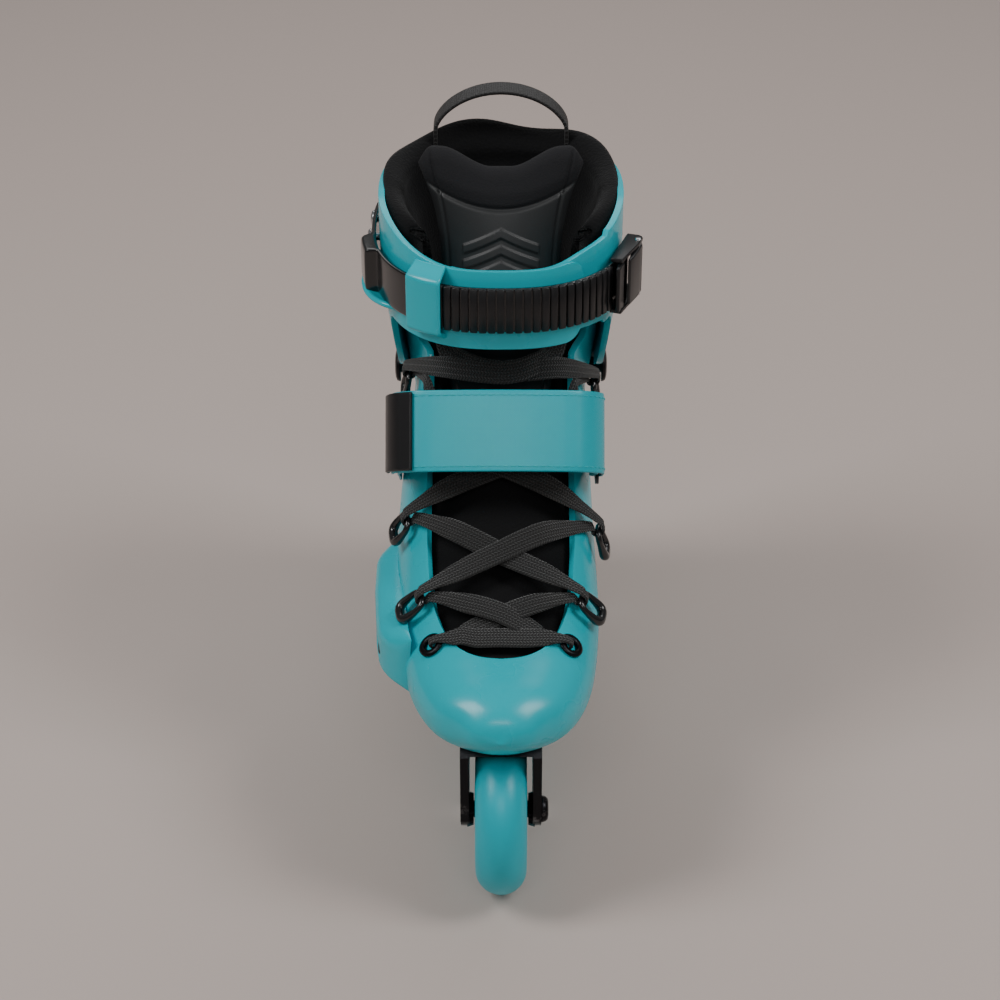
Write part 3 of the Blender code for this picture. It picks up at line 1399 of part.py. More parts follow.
def build():
    """Build the whole skate."""
    clear_scene()
    make_wheels()
    make_chassis()
    make_mount_bolts()
    make_shell()
    make_liner()
    make_insole_and_pad()
    make_tongue()
    make_wear_plate()
    make_eyelets()
    make_lace_loops()
    make_lace()
    make_instep_strap()
    make_strap_tab()
    make_strap_hardware()
    make_cuff()
    make_cuff_bolts()
    make_ladder_strap()
    make_ladder_screws()
    make_buckle()
    make_pull_loop()
    hang_cuff()


build()
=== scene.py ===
"""Right inline skate: the finished look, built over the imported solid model.

Every surface is worked out in millimetres as whole numpy arrays and turned into metres
when its mesh is made. The boot is a loft whose sections fan round the ankle; shell,
liner, wear plate, lace and loops are all read from it.
"""
import logging
import math
from dataclasses import dataclass, field
from enum import Enum
from typing import Callable, Optional, Sequence

import bmesh
import bpy
import numpy as np
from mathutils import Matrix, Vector
from mathutils.bvhtree import BVHTree

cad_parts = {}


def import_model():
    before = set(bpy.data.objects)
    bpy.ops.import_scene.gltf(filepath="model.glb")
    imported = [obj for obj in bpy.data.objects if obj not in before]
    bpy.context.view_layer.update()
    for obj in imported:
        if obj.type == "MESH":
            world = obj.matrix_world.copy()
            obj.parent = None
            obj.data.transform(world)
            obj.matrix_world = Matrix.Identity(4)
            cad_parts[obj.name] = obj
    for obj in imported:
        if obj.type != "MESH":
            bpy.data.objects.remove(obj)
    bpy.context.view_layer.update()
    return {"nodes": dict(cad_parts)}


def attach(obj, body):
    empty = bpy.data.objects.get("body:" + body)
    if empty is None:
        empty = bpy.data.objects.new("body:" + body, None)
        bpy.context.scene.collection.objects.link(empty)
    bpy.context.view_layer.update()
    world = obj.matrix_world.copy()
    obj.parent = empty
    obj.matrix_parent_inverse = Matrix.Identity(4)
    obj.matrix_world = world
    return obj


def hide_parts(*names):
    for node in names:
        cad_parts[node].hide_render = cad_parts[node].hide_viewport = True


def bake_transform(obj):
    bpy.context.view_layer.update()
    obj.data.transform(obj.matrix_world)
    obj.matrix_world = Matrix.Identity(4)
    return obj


LOG = logging.getLogger("skate")
Array = np.ndarray
MM = 0.001
Item = bpy.types.Object
Node = bpy.types.Node
Floats = Sequence[float]
Outline = Sequence[tuple[float, float]]


# ---- mathematics

def spline(table: Sequence[Floats] | Array, places: Array | float) -> Array:
    """Read rows of a table at fractional places along Catmull-Rom curves.

    Args:
        table: One row for each knot.
        places: Fractional row numbers, of any shape.

    Returns:
        The rows there: start + t/2 (slope + t (bend + t twist)) between two knots.
    """
    rows = np.asarray(table, float)
    spots = np.clip(np.asarray(places, float), 0, len(rows) - 1)
    first = np.minimum(spots.astype(int), len(rows) - 2)
    t = (spots - first)[..., None]
    before, start, end, after = (
        rows[np.clip(first + step, 0, len(rows) - 1)] for step in (-1, 0, 1, 2))
    slope = end - before
    bend = 2 * before - 5 * start + 4 * end - after
    twist = 3 * (start - end) + after - before
    return start + 0.5 * t * (slope + t * (bend + t * twist))


def signed(values: Array, power: Array | float) -> Array:
    """Raise the size of each value to a power and keep its sign."""
    return np.sign(values) * np.abs(values) ** power


def ramp(values: Array | float, low: float, high: float) -> Array:
    """Smooth ramp from nought to one between two limits: 3t^2 - 2t^3."""
    t = np.clip((np.asarray(values, float) - low) / (high - low), 0.0, 1.0)
    return t * t * (3 - 2 * t)


def line(values: Array | float, low: float, high: float) -> Array:
    """Straight ramp from nought to one between two limits."""
    return np.clip((np.asarray(values, float) - low) / (high - low), 0.0, 1.0)


def unit(vectors: Array) -> Array:
    """Scale vectors to length one along their last axis.

    Args:
        vectors: Vectors along the last axis.

    Returns:
        Unit vectors of the same shape.
    """
    vectors = np.asarray(vectors, float)
    length = np.linalg.norm(vectors, axis=-1, keepdims=True)
    return vectors / np.maximum(length, 1e-9)


def crowded(count: int, strength: float = 0.8) -> Array:
    """Numbers from nought to one, closer together at both ends: a blend with a cosine."""
    t = np.linspace(0.0, 1.0, count)
    return t * (1 - strength) + strength * (1 - np.cos(np.pi * t)) / 2


def grid_normals(grid: Array) -> Array:
    """Unit normals of a grid surface: rows' direction crossed with columns' direction.

    Args:
        grid: Points, rows by columns.

    Returns:
        Normals, rows by columns.
    """
    along = np.gradient(grid, axis=0)
    across = np.gradient(grid, axis=1)
    return unit(np.cross(along, across))


def run_lengths(grid: Array, axis: int) -> Array:
    """Distance along one axis of a grid from its first row or column, at every point.

    Args:
        grid: Points, rows by columns.
        axis: The axis to walk along.

    Returns:
        Distances, rows by columns.
    """
    steps = np.linalg.norm(np.diff(grid, axis=axis), axis=-1)
    start = np.zeros_like(np.take(steps, [0], axis=axis))
    return np.concatenate([start, np.cumsum(steps, axis=axis)], axis=axis)


def edge_rise(distance: Array, radius: float) -> Array:
    """Quarter-circle rise: nought at the edge and one from a radius inwards."""
    t = np.clip(distance / radius, 0.0, 1.0)
    return np.sqrt(np.maximum(0.0, 1 - (1 - t) ** 2))


def side_frames(points: Array, up: Floats) -> tuple[Array, Array]:
    """Frames of a strip whose width lies along one fixed direction.

    Args:
        points: Middle line, one row a point.
        up: The direction of its width.

    Returns:
        Width directions and face normals, the tangent crossed with the width.
    """
    tangents = unit(np.gradient(points, axis=0))
    widths = np.repeat(unit(np.array(up, float))[None], len(points), axis=0)
    return widths, unit(np.cross(tangents, widths))


# ---- meshes

def put_mesh(name: str, verts: Array, faces: Array | list, uv: Optional[Array] = None,
             smooth: bool = True) -> Item:
    """Make an object from points in millimetres.

    Args:
        name: Name of the object and its mesh.
        verts: Points, one row each.
        faces: Vertex numbers of each face.
        uv: Optional flat coordinates of each vertex.
        smooth: True for smooth shading.

    Returns:
        The object, at the origin, with its place in its mesh.
    """
    mesh = bpy.data.meshes.new(name)
    face_list = faces.tolist() if isinstance(faces, np.ndarray) else faces
    mesh.from_pydata((np.asarray(verts) * MM).tolist(), [], face_list)
    if uv is not None:
        layer = mesh.uv_layers.new(name="flat")
        order = np.empty(len(mesh.loops), dtype=np.int32)
        mesh.loops.foreach_get("vertex_index", order)
        layer.data.foreach_set("uv", np.asarray(uv, np.float32)[order].ravel())
    mesh.polygons.foreach_set("use_smooth", np.full(len(mesh.polygons), smooth))
    mesh.update()
    item = bpy.data.objects.new(name, mesh)
    bpy.context.scene.collection.objects.link(item)
    return item


def grid_faces(rows: int, cols: int, wrap_rows: bool = False, wrap_cols: bool = False,
               start: int = 0) -> Array:
    """Quads between neighbouring rows and columns of a grid of vertices.

    Args:
        rows: Rows of vertices.
        cols: Columns of vertices.
        wrap_rows: True if the last row joins the first.
        wrap_cols: The same for the columns.
        start: Number of the first vertex.

    Returns:
        Four vertex numbers for each quad.
    """
    i = np.arange(rows if wrap_rows else rows - 1)[:, None]
    j = np.arange(cols if wrap_cols else cols - 1)[None, :]
    i2, j2 = (i + 1) % rows, (j + 1) % cols
    quads = np.stack([i * cols + j, i2 * cols + j, i2 * cols + j2, i * cols + j2], axis=-1)
    return quads.reshape(-1, 4) + start


def tube_faces(rows: int, cols: int) -> list[list[int]]:
    """Faces of a tube of rings with a cap at each end, all turned the same way.

    Args:
        rows: Number of rings.
        cols: Points in a ring.

    Returns:
        Vertex numbers of each face; the two caps come last.
    """
    faces = grid_faces(rows, cols, wrap_cols=True).tolist()
    return [*faces, list(range(cols)), [rows * cols - 1 - k for k in range(cols)]]


def put_sheet(name: str, grid: Array, flip: bool = False) -> Item:
    """Make an open grid surface; flip turns its outside round.

    Args:
        name: Name of the piece.
        grid: Points, rows by columns.
        flip: True turns its outside round.

    Returns:
        The object.
    """
    rows, cols = grid.shape[:2]
    faces = grid_faces(rows, cols)
    if flip:
        faces = faces[:, ::-1]
    return put_mesh(name, grid.reshape(-1, 3), faces)


def put_tube(name: str, grid: Array, uv: Optional[Array] = None, ring: bool = False,
             smooth: bool = True) -> Item:
    """Make a closed tube from rings of points.

    Args:
        name: Name of the piece.
        grid: Rings along the first axis, points of a ring along the second.
        uv: Optional flat coordinates on the same grid.
        ring: True if the last ring joins the first; otherwise both ends get a cap.
        smooth: True for smooth shading.

    Returns:
        The object.
    """
    rows, cols = grid.shape[:2]
    verts = grid.reshape(-1, 3)
    faces = grid_faces(rows, cols, True, True) if ring else tube_faces(rows, cols)
    flat = None if uv is None else uv.reshape(-1, 2)
    item = put_mesh(name, verts, faces, flat, smooth)
    face_outwards(item)
    return item


def face_outwards(item: Item) -> None:
    """Turn a closed mesh the right way out, judged by its signed volume.

    Args:
        item: The closed piece.
    """
    places, triangles = read_triangles(item.data)
    a, b, c = np.moveaxis(places[triangles], 1, 0)
    if float(np.einsum("ij,ij->i", a, np.cross(b, c)).sum()) < 0:
        item.data.flip_normals()


def read_triangles(mesh: bpy.types.Mesh) -> tuple[Array, Array]:
    """Read a mesh into arrays without changing it.

    Args:
        mesh: The mesh.

    Returns:
        Places of its vertices in metres, and three vertex numbers for each triangle.
    """
    places = np.empty(len(mesh.vertices) * 3, np.float32)
    mesh.vertices.foreach_get("co", places)
    mesh.calc_loop_triangles()
    triangles = np.empty(len(mesh.loop_triangles) * 3, np.int32)
    mesh.loop_triangles.foreach_get("vertices", triangles)
    return places.reshape(-1, 3), triangles.reshape(-1, 3)


def put_pillow(name: str, grid: Array, half: Array, flat: Optional[Array] = None,
               lower: Optional[Array] = None) -> Item:
    """Make a closed padded sheet: a middle surface plus and minus its half thickness.

    Args:
        name: Name of the piece.
        grid: The middle surface.
        half: Half thickness at each point; it is taken as nought all round the edge.
        flat: Optional flat coordinates on the same grid.
        lower: Optional other half thickness of the back.

    Returns:
        The object; front and back share the edge's vertices.
    """
    rows, cols = grid.shape[:2]
    normals = grid_normals(grid)
    inside = np.zeros((rows, cols), bool)
    inside[1:-1, 1:-1] = True
    front = grid + normals * (half * inside)[..., None]
    back_half = half if lower is None else lower
    back = grid - normals * (back_half * inside)[..., None]
    number = np.arange(rows * cols).reshape(rows, cols)
    behind = number.copy()
    behind[inside] = rows * cols + np.arange(inside.sum())
    verts = np.concatenate([front.reshape(-1, 3), back[inside]])
    top = grid_faces(rows, cols)
    low = behind.ravel()[top][:, ::-1]
    uv = None
    if flat is not None:
        uv = np.concatenate([flat.reshape(-1, 2), flat[inside]])
    item = put_mesh(name, verts, np.concatenate([top, low]), uv)
    face_outwards(item)
    return item


def join_meshes(name: str, pieces: list[tuple[Array, Array]], smooth: bool = True) -> Item:
    """Make one object of several closed bodies given as (points, faces).

    Args:
        name: Name of the piece.
        pieces: Points and faces of each body.
        smooth: True for smooth shading.

    Returns:
        The object.
    """
    verts, faces, start = [], [], 0
    for points, quads in pieces:
        verts.append(points)
        faces += [[int(corner) + start for corner in face] for face in quads]
        start += len(points)
    return put_mesh(name, np.concatenate(verts), faces, smooth=smooth)


def oval_section(half_width: Array, half_thick: Array, count: int = 16,
                 power: float = 0.45) -> tuple[Array, Array]:
    """Offsets of a flat rounded section, x = w cos^p a along the width, y = t sin^p a.

    Args:
        half_width: Half width of each section.
        half_thick: Half thickness of each section.
        count: Points in a section.
        power: Roundness of its corners.

    Returns:
        Offsets along the width and along the thickness.
    """
    angle = np.linspace(0, 2 * np.pi, count, endpoint=False) + np.pi / count
    x = signed(np.cos(angle), power)[None, :] * np.asarray(half_width)[:, None]
    y = signed(np.sin(angle), power)[None, :] * np.asarray(half_thick)[:, None]
    return x, y


def sweep_strip(points: Array, widths: Array, ups: Array, half_width: Array,
                half_thick: Array, count: int = 16, power: float = 0.45) -> tuple[Array, Array]:
    """Carry a flat rounded section along a path.

    Args:
        points: Middle line.
        widths: Unit width directions there.
        ups: Unit face normals there.
        half_width: Half width at each point.
        half_thick: Half thickness at each point.
        count: Points in a section.
        power: Roundness of the section's corners; smaller is squarer.

    Returns:
        The grid of rings, and flat coordinates in millimetres along and across.
    """
    x, y = oval_section(half_width, half_thick, count, power)
    grid = points[:, None] + widths[:, None] * x[..., None] + ups[:, None] * y[..., None]
    run = run_lengths(points[:, None], 0)[:, 0]
    flat = np.stack([np.repeat(run[:, None], count, 1), x], axis=-1)
    return grid, flat


def lathe_grid(profile: Outline, origin: Floats, axis: Floats, segments: int = 48) -> Array:
    """Turn a (radius, distance) profile round an axis; returns rings along the profile.

    Args:
        profile: Radius and distance of each ring.
        origin: A point on the axis.
        axis: Its direction.
        segments: Points in a ring.

    Returns:
        The rings of points.
    """
    axis = unit(np.array(axis, float))
    other = np.array((0.0, 0.0, 1.0)) if abs(axis[2]) < 0.8 else np.array((1.0, 0.0, 0.0))
    first = unit(np.cross(axis, other))
    second = np.cross(axis, first)
    turn = np.linspace(0, 2 * np.pi, segments, endpoint=False)
    circle = np.cos(turn)[:, None] * first + np.sin(turn)[:, None] * second
    profile = np.asarray(profile, float)
    return (np.array(origin, float) + profile[:, 1][:, None, None] * axis
            + profile[:, 0][:, None, None] * circle[None])


def put_lathe(name: str, profile: Outline, origin: Floats,
              axis: Floats, segments: int = 48, ring: bool = False,
              ) -> Item:
    """Make a turned piece; a solid one starts and ends near the axis, a ring's profile closes."""
    return put_tube(name, lathe_grid(profile, origin, axis, segments), ring=ring)


def put_extrusion(name: str, outline: Outline, low: float, high: float,
                  place: Array, bevel: float) -> Item:
    """Make a flat-sided piece: an outline carried along the third direction of a frame.

    Args:
        name: Name of the piece.
        outline: Corners as (first, second) distances.
        low: Start along the third direction.
        high: End along the third direction.
        place: Rows are the origin and the three directions.
        bevel: Width of the rounded edges.

    Returns:
        The object.
    """
    item = put_tube(name, extruded(outline, low, high, place), smooth=False)
    add_bevel(item, bevel)
    return item


def extruded(outline: Outline, low: float, high: float, place: Array) -> Array:
    """Two rings of points: an outline at the start and the end of its way.

    Args:
        outline: Corners as (first, second) distances.
        low: Start of the way.
        high: End of the way.
        place: Rows are the origin and the three directions.

    Returns:
        The two rings.
    """
    outline = np.asarray(outline, float)
    origin, first, second, third = place
    base = origin + outline[:, :1] * first + outline[:, 1:] * second
    return np.stack([base + third * low, base + third * high])


def add_bevel(item: Item, width: float, segments: int = 3, angle: float = 30.0) -> None:
    """Round the sharp edges of a piece.

    Args:
        item: The piece.
        width: Width of the rounding.
        segments: Steps across it.
        angle: Smallest angle that counts as sharp.
    """
    bevel = item.modifiers.new("round", "BEVEL")
    bevel.width = width * MM
    bevel.segments = segments
    bevel.limit_method = "ANGLE"
    bevel.angle_limit = math.radians(angle)
    bevel.harden_normals = False
    item.data.polygons.foreach_set("use_smooth", np.full(len(item.data.polygons), True))


def add_wall(item: Item, thickness: float, rim: float) -> None:
    """Give an open surface a wall on its inner side, with a rounded rim.

    Args:
        item: The open surface.
        thickness: Thickness of the wall.
        rim: Width of the rim's rounding.
    """
    solid = item.modifiers.new("wall", "SOLIDIFY")
    solid.thickness = thickness * MM
    solid.offset = -1.0
    solid.use_even_offset = True
    add_bevel(item, rim, 3, 50.0)


def hold(item: Item, body: str, finish: "Finish", slot: str, *nodes: str) -> Item:
    """Dress a piece, let it ride on a body, and hide the CAD nodes that it stands for.

    Args:
        item: The piece.
        body: The body it rides on.
        finish: Its finish.
        slot: Not used.
        nodes: The CAD nodes it stands for.

    Returns:
        The piece.
    """
    item.data.materials.clear()
    item.data.materials.append(finish.material())
    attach(item, body)
    if nodes:
        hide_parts(*nodes)
    LOG.info("%s rides on %s", item.name, body)
    return item


def bend(item: Item, finish: "Finish", slot: str, node: str) -> None:
    """Dress a soft piece, fix its place in its mesh, and hide the CAD node it stands for.

    Args:
        item: The piece.
        finish: Its finish.
        slot: Not used.
        node: The CAD node it stands for.
    """
    item.data.materials.append(finish.material())
    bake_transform(item)
    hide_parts(node)
    LOG.info("%s bends between boot and cuff", item.name)


# ---- shader groups

Socket = bpy.types.NodeSocket


@dataclass
class Graph:
    """A node tree being wired up."""

    tree: bpy.types.NodeTree

    def node(self, kind: str, **values: object) -> Node:
        """Add a node and set its properties.

        Args:
            kind: Type of the node.
            values: Its properties.

        Returns:
            The node.
        """
        made = self.tree.nodes.new(kind)
        for key, value in values.items():
            setattr(made, key, value)
        return made

    def feed(self, socket: Socket, value: object) -> None:
        """Link a socket to another, or set its plain value.

        Args:
            socket: The input.
            value: A socket to link, or a plain value.
        """
        if isinstance(value, bpy.types.NodeSocket):
            self.tree.links.new(value, socket)
        else:
            socket.default_value = value

    def math(self, operation: str, *values: object) -> Socket:
        """Add a Math node and return its result.

        Args:
            operation: The operation.
            values: Its inputs, sockets or numbers.

        Returns:
            The result.
        """
        made = self.node("ShaderNodeMath", operation=operation)
        for socket, value in zip(made.inputs, values):
            self.feed(socket, value)
        return made.outputs[0]

    def mix(self, factor: object, first: object, second: object) -> Socket:
        """Mix two colours.

        Args:
            factor: Share of the second colour.
            first: First colour.
            second: Second colour.

        Returns:
            The mixed colour.
        """
        made = self.node("ShaderNodeMix", data_type="RGBA")
        self.feed(made.inputs[0], factor)
        self.feed(made.inputs[6], first)
        self.feed(made.inputs[7], second)
        return made.outputs[2]

    def remap(self, value: Socket, low: float, high: float, to_low: float,
              to_high: float) -> Socket:
        """Map a range of values to another, clamped.

        Args:
            value: The value.
            low: Start of its range.
            high: End of its range.
            to_low: Start of the new range.
            to_high: End of the new range.

        Returns:
            The mapped value.
        """
        made = self.node("ShaderNodeMapRange")
        for socket, item in zip(made.inputs, (value, low, high, to_low, to_high)):
            self.feed(socket, item)
        return made.outputs[0]

    def noise(self, vector: Socket, scale: float, detail: float = 3.0,
              roughness: float = 0.55) -> Socket:
        """Add a noise texture and return its factor.

        Args:
            vector: Where it is read.
            scale: Its scale.
            detail: Its octaves.
            roughness: Strength of the fine octaves.

        Returns:
            The factor.
        """
        made = self.node("ShaderNodeTexNoise")
        self.feed(made.inputs["Vector"], vector)
        self.feed(made.inputs["Scale"], scale)
        self.feed(made.inputs["Detail"], detail)
        self.feed(made.inputs["Roughness"], roughness)
        return made.outputs[0]


def new_group(name: str, inputs: Sequence[tuple[str, str, object]],
              outputs: Sequence[tuple[str, str]]) -> tuple[Graph, dict[str, Socket],
                                                          dict[str, Socket]]:
    """Start a shader node group.

    Args:
        name: Name of the group.
        inputs: Name, socket type and default of each input.
        outputs: Name and socket type of each output.

    Returns:
        The graph, its input values and its output sockets, by name.
    """
    tree = bpy.data.node_groups.new(name, "ShaderNodeTree")
    for label, kind, default in inputs:
        socket = tree.interface.new_socket(label, in_out="INPUT", socket_type=kind)
        if default is not None:
            socket.default_value = default
    for label, kind in outputs:
        tree.interface.new_socket(label, in_out="OUTPUT", socket_type=kind)
    graph = Graph(tree)
    source = graph.node("NodeGroupInput")
    target = graph.node("NodeGroupOutput")
    return (graph, {label: source.outputs[label] for label, _, _ in inputs},
            {label: target.inputs[label] for label, _ in outputs})


class Effect(Enum):
    """Shared surface effects, each built once as a node group."""

    GRAIN = "moulded_grain"
    WEAR = "edge_wear"
    WEAVE = "flat_weave"
    KNIT = "padded_knit"
    BRAID = "lace_braid"


FLOAT, VECTOR = "NodeSocketFloat", "NodeSocketVector"


def effect_group(effect: Effect) -> bpy.types.NodeTree:
    """Node group of an effect, made on first use.

    Args:
        effect: The effect.

    Returns:
        Its node group.
    """
    if effect.value in bpy.data.node_groups:
        return bpy.data.node_groups[effect.value]
    makers: dict[Effect, Callable[[], None]] = {
        Effect.GRAIN: make_grain, Effect.WEAR: make_wear, Effect.WEAVE: make_weave,
        Effect.KNIT: make_knit, Effect.BRAID: make_braid}
    makers[effect]()
    return bpy.data.node_groups[effect.value]


def make_grain() -> None:
    """Moulded plastic: a fine grain for bump, and slow patches for colour and gloss."""
    graph, source, target = new_group(
        Effect.GRAIN.value, [("Vector", VECTOR, None), ("Scale", FLOAT, 900.0)],
        [("Height", FLOAT), ("Patches", FLOAT), ("Scuffs", FLOAT)])
    fine = graph.noise(source["Vector"], 900.0, 2.0)
    graph.feed(fine.node.inputs["Scale"], source["Scale"])
    slow = graph.noise(source["Vector"], 14.0, 4.0)
    stretch = graph.node("ShaderNodeMapping")
    graph.feed(stretch.inputs["Vector"], source["Vector"])
    stretch.inputs["Scale"].default_value = (1.0, 0.12, 0.5)
    stretch.inputs["Rotation"].default_value = (0.3, 0.2, 0.5)
    lines = graph.noise(stretch.outputs[0], 420.0, 5.0, 0.7)
    graph.feed(target["Height"], fine)
    graph.feed(target["Patches"], slow)
    graph.feed(target["Scuffs"], graph.remap(lines, 0.66, 0.74, 0.0, 1.0))


def make_wear() -> None:
    """Wear near the ground and in random spots: a mask from height and noise."""
    graph, source, target = new_group(
        Effect.WEAR.value,
        [("Vector", VECTOR, None), ("Top", FLOAT, 0.1), ("Amount", FLOAT, 0.5)],
        [("Mask", FLOAT)])
    split = graph.node("ShaderNodeSeparateXYZ")
    graph.feed(split.inputs[0], source["Vector"])
    below = graph.math("SUBTRACT", source["Top"], split.outputs["Z"])
    near = graph.math("MULTIPLY", below, 18.0)
    spots = graph.noise(source["Vector"], 160.0, 6.0, 0.7)
    both = graph.math("ADD", spots, graph.math("MINIMUM", near, 0.12))
    hard = graph.remap(both, 0.68, 0.8, 0.0, 1.0)
    graph.feed(target["Mask"], graph.math("MULTIPLY", hard, source["Amount"]))


def make_weave() -> None:
    """Plain weave from flat coordinates: two crossed sines that take turns on top; its Shade
    output repeats the height, for painted shade in the low threads.
    """
    graph, source, target = new_group(
        Effect.WEAVE.value, [("Vector", VECTOR, None), ("Pitch", FLOAT, 0.7)],
        [("Height", FLOAT), ("Shade", FLOAT)])
    split = graph.node("ShaderNodeSeparateXYZ")
    graph.feed(split.inputs[0], source["Vector"])
    turn = graph.math("DIVIDE", math.pi, source["Pitch"])
    u = graph.math("MULTIPLY", split.outputs["X"], turn)
    v = graph.math("MULTIPLY", split.outputs["Y"], turn)
    warp = graph.math("MULTIPLY", graph.math("SINE", u), graph.math("COSINE", v))
    ridge = graph.math("ABSOLUTE", graph.math("SINE", u))
    other = graph.math("ABSOLUTE", graph.math("SINE", v))
    pick = graph.math("GREATER_THAN", warp, 0.0)
    height = graph.math("ADD", graph.math("MULTIPLY", ridge, pick),
                        graph.math("MULTIPLY", other, graph.math("SUBTRACT", 1.0, pick)))
    graph.feed(target["Height"], height)
    # Shade repeats the height: painted shade in the weave's low threads and a painted highlight
    # on its crests.
    graph.feed(target["Shade"], graph.remap(height, 0.0, 1.0, 0.0, 1.0))


def make_knit() -> None:
    """Padded lining cloth: small cells from Object coordinates, with slow folds."""
    graph, source, target = new_group(
        Effect.KNIT.value, [("Vector", VECTOR, None), ("Scale", FLOAT, 900.0)],
        [("Height", FLOAT), ("Shade", FLOAT)])
    cells = graph.node("ShaderNodeTexVoronoi")
    graph.feed(cells.inputs["Vector"], source["Vector"])
    graph.feed(cells.inputs["Scale"], source["Scale"])
    fold = graph.noise(source["Vector"], 45.0, 3.0)
    fluff = graph.noise(source["Vector"], 1600.0, 2.0)
    height = graph.math("ADD", graph.math("SUBTRACT", 1.0, cells.outputs["Distance"]),
                        graph.math("MULTIPLY", fluff, 0.4))
    graph.feed(target["Height"], height)
    graph.feed(target["Shade"], graph.math("ADD", graph.math("MULTIPLY", fold, 0.7),
                                           graph.math("MULTIPLY", fluff, 0.3)))


def make_braid() -> None:
    """Flat braid: slanted yarns that meet along the middle in a herringbone.

    The slant is sin(k (u + |v| s)), and a finer sine splits each yarn into threads. The Shade
    output repeats the height: painted shade between the yarns, painted highlight on their tops.
    """
    graph, source, target = new_group(
        Effect.BRAID.value, [("Vector", VECTOR, None), ("Pitch", FLOAT, 1.5)],
        [("Height", FLOAT), ("Shade", FLOAT)])
    split = graph.node("ShaderNodeSeparateXYZ")
    graph.feed(split.inputs[0], source["Vector"])
    fold = graph.math("PINGPONG", graph.math("ADD", split.outputs["Y"], 40.0), 1.45)
    slant = graph.math("ADD", split.outputs["X"], graph.math("MULTIPLY", fold, 0.9))
    turn = graph.math("DIVIDE", 2 * math.pi, source["Pitch"])
    yarn = graph.math("SINE", graph.math("MULTIPLY", slant, turn))
    column = graph.math("ABSOLUTE", graph.math("SINE", graph.math("MULTIPLY", fold, 2.17)))
    full = graph.math("MULTIPLY", graph.math("ADD", yarn, 1.0), 0.5)
    height = graph.math("MULTIPLY", graph.math("ADD", full, 0.25), column)
    graph.feed(target["Height"], height)
    # Shade is the height itself: painted shade between the yarns and a painted highlight on their
    # tops.
    graph.feed(target["Shade"], height)


# ---- finishes

Rgb = tuple[float, float, float]


@dataclass(frozen=True)
class Finish:
    """A plain finish; the other finishes add their own pattern.

    Args:
        name: Name of the material.
        colour: Base colour.
        roughness: Roughness of the surface.
    """

    name: str
    colour: Rgb
    roughness: float

    def material(self) -> bpy.types.Material:
        """Return the material, made on first use.

        Returns:
            The material.
        """
        if self.name in bpy.data.materials:
            return bpy.data.materials[self.name]
        made = bpy.data.materials.new(self.name)
        made.use_nodes = True
        graph = Graph(made.node_tree)
        shader = made.node_tree.nodes["Principled BSDF"]
        shader.inputs["Base Color"].default_value = (*self.colour, 1.0)
        shader.inputs["Roughness"].default_value = self.roughness
        self.dress(graph, shader)
        return made

    def dress(self, graph: Graph, shader: Node) -> None:
        """Add the finish's pattern to the shader."""

    def place(self, graph: Graph, flat: bool = False) -> Socket:
        """Object coordinates, or the piece's own flat coordinates."""
        coords = graph.node("ShaderNodeTexCoord")
        return coords.outputs["UV" if flat else "Object"]

    def use(self, graph: Graph, effect: Effect, vector: Socket, **values: float) -> Node:
        """Place a shared effect in the material.

        Args:
            graph: The material's graph.
            effect: The effect.
            vector: Where it is read.
            values: Its other inputs.

        Returns:
            The group's node.
        """
        node = graph.node("ShaderNodeGroup")
        node.node_tree = effect_group(effect)
        graph.feed(node.inputs["Vector"], vector)
        for key, value in values.items():
            node.inputs[key].default_value = value
        return node

    def bump(self, graph: Graph, shader: Node, height: Socket, depth: float,
             strength: float = 1.0) -> None:
        """Feed a height in millimetres of depth to the shader's normal.

        Args:
            graph: The material's graph.
            shader: Its shader.
            height: The height.
            depth: Depth in millimetres.
            strength: Strength of the bump.
        """
        node = graph.node("ShaderNodeBump")
        node.inputs["Strength"].default_value = strength
        node.inputs["Distance"].default_value = depth * MM
        graph.feed(node.inputs["Height"], height)
        graph.feed(shader.inputs["Normal"], node.outputs["Normal"])

    def tint(self, share: float) -> tuple[float, float, float, float]:
        """The colour made lighter or darker by a share."""
        return (*(min(1.0, channel * share) for channel in self.colour), 1.0)


@dataclass(frozen=True)
class MouldedPlastic(Finish):
    """Injection-moulded plastic with fine grain, soft gloss patches and light scuffs."""

    grain: float = 0.012
    grain_scale: float = 900.0
    coat: float = 0.0
    shine: float = 0.4
    scuff: float = 0.15
    wear_top: float = 0.0

    def dress(self, graph: Graph, shader: Node) -> None:
        """Vary colour and gloss slowly, and break the surface with a fine grain.

        Args:
            graph: The material's graph.
            shader: Its shader.
        """
        vector = self.place(graph)
        grain = self.use(graph, Effect.GRAIN, vector, Scale=self.grain_scale)
        wear = self.use(graph, Effect.WEAR, vector, Top=self.wear_top, Amount=1.0)
        base = graph.mix(grain.outputs["Patches"], self.tint(0.94), self.tint(1.06))
        scuffed = graph.math("MULTIPLY", grain.outputs["Scuffs"], self.scuff)
        marks = graph.math("MAXIMUM", scuffed, graph.math("MULTIPLY", wear.outputs["Mask"],
                                                          self.scuff))
        pale = tuple(channel * 0.75 + 0.16 for channel in self.colour)
        graph.feed(shader.inputs["Base Color"], graph.mix(marks, base, (*pale, 1.0)))
        gloss = graph.remap(grain.outputs["Patches"], 0.3, 0.7, self.roughness - 0.035,
                            self.roughness + 0.045)
        graph.feed(shader.inputs["Roughness"],
                   graph.math("ADD", gloss, graph.math("MULTIPLY", marks, 0.25)))
        shader.inputs["Specular IOR Level"].default_value = self.shine
        shader.inputs["Coat Weight"].default_value = self.coat
        shader.inputs["Coat Roughness"].default_value = 0.12
        self.bump(graph, shader, grain.outputs["Height"], self.grain)


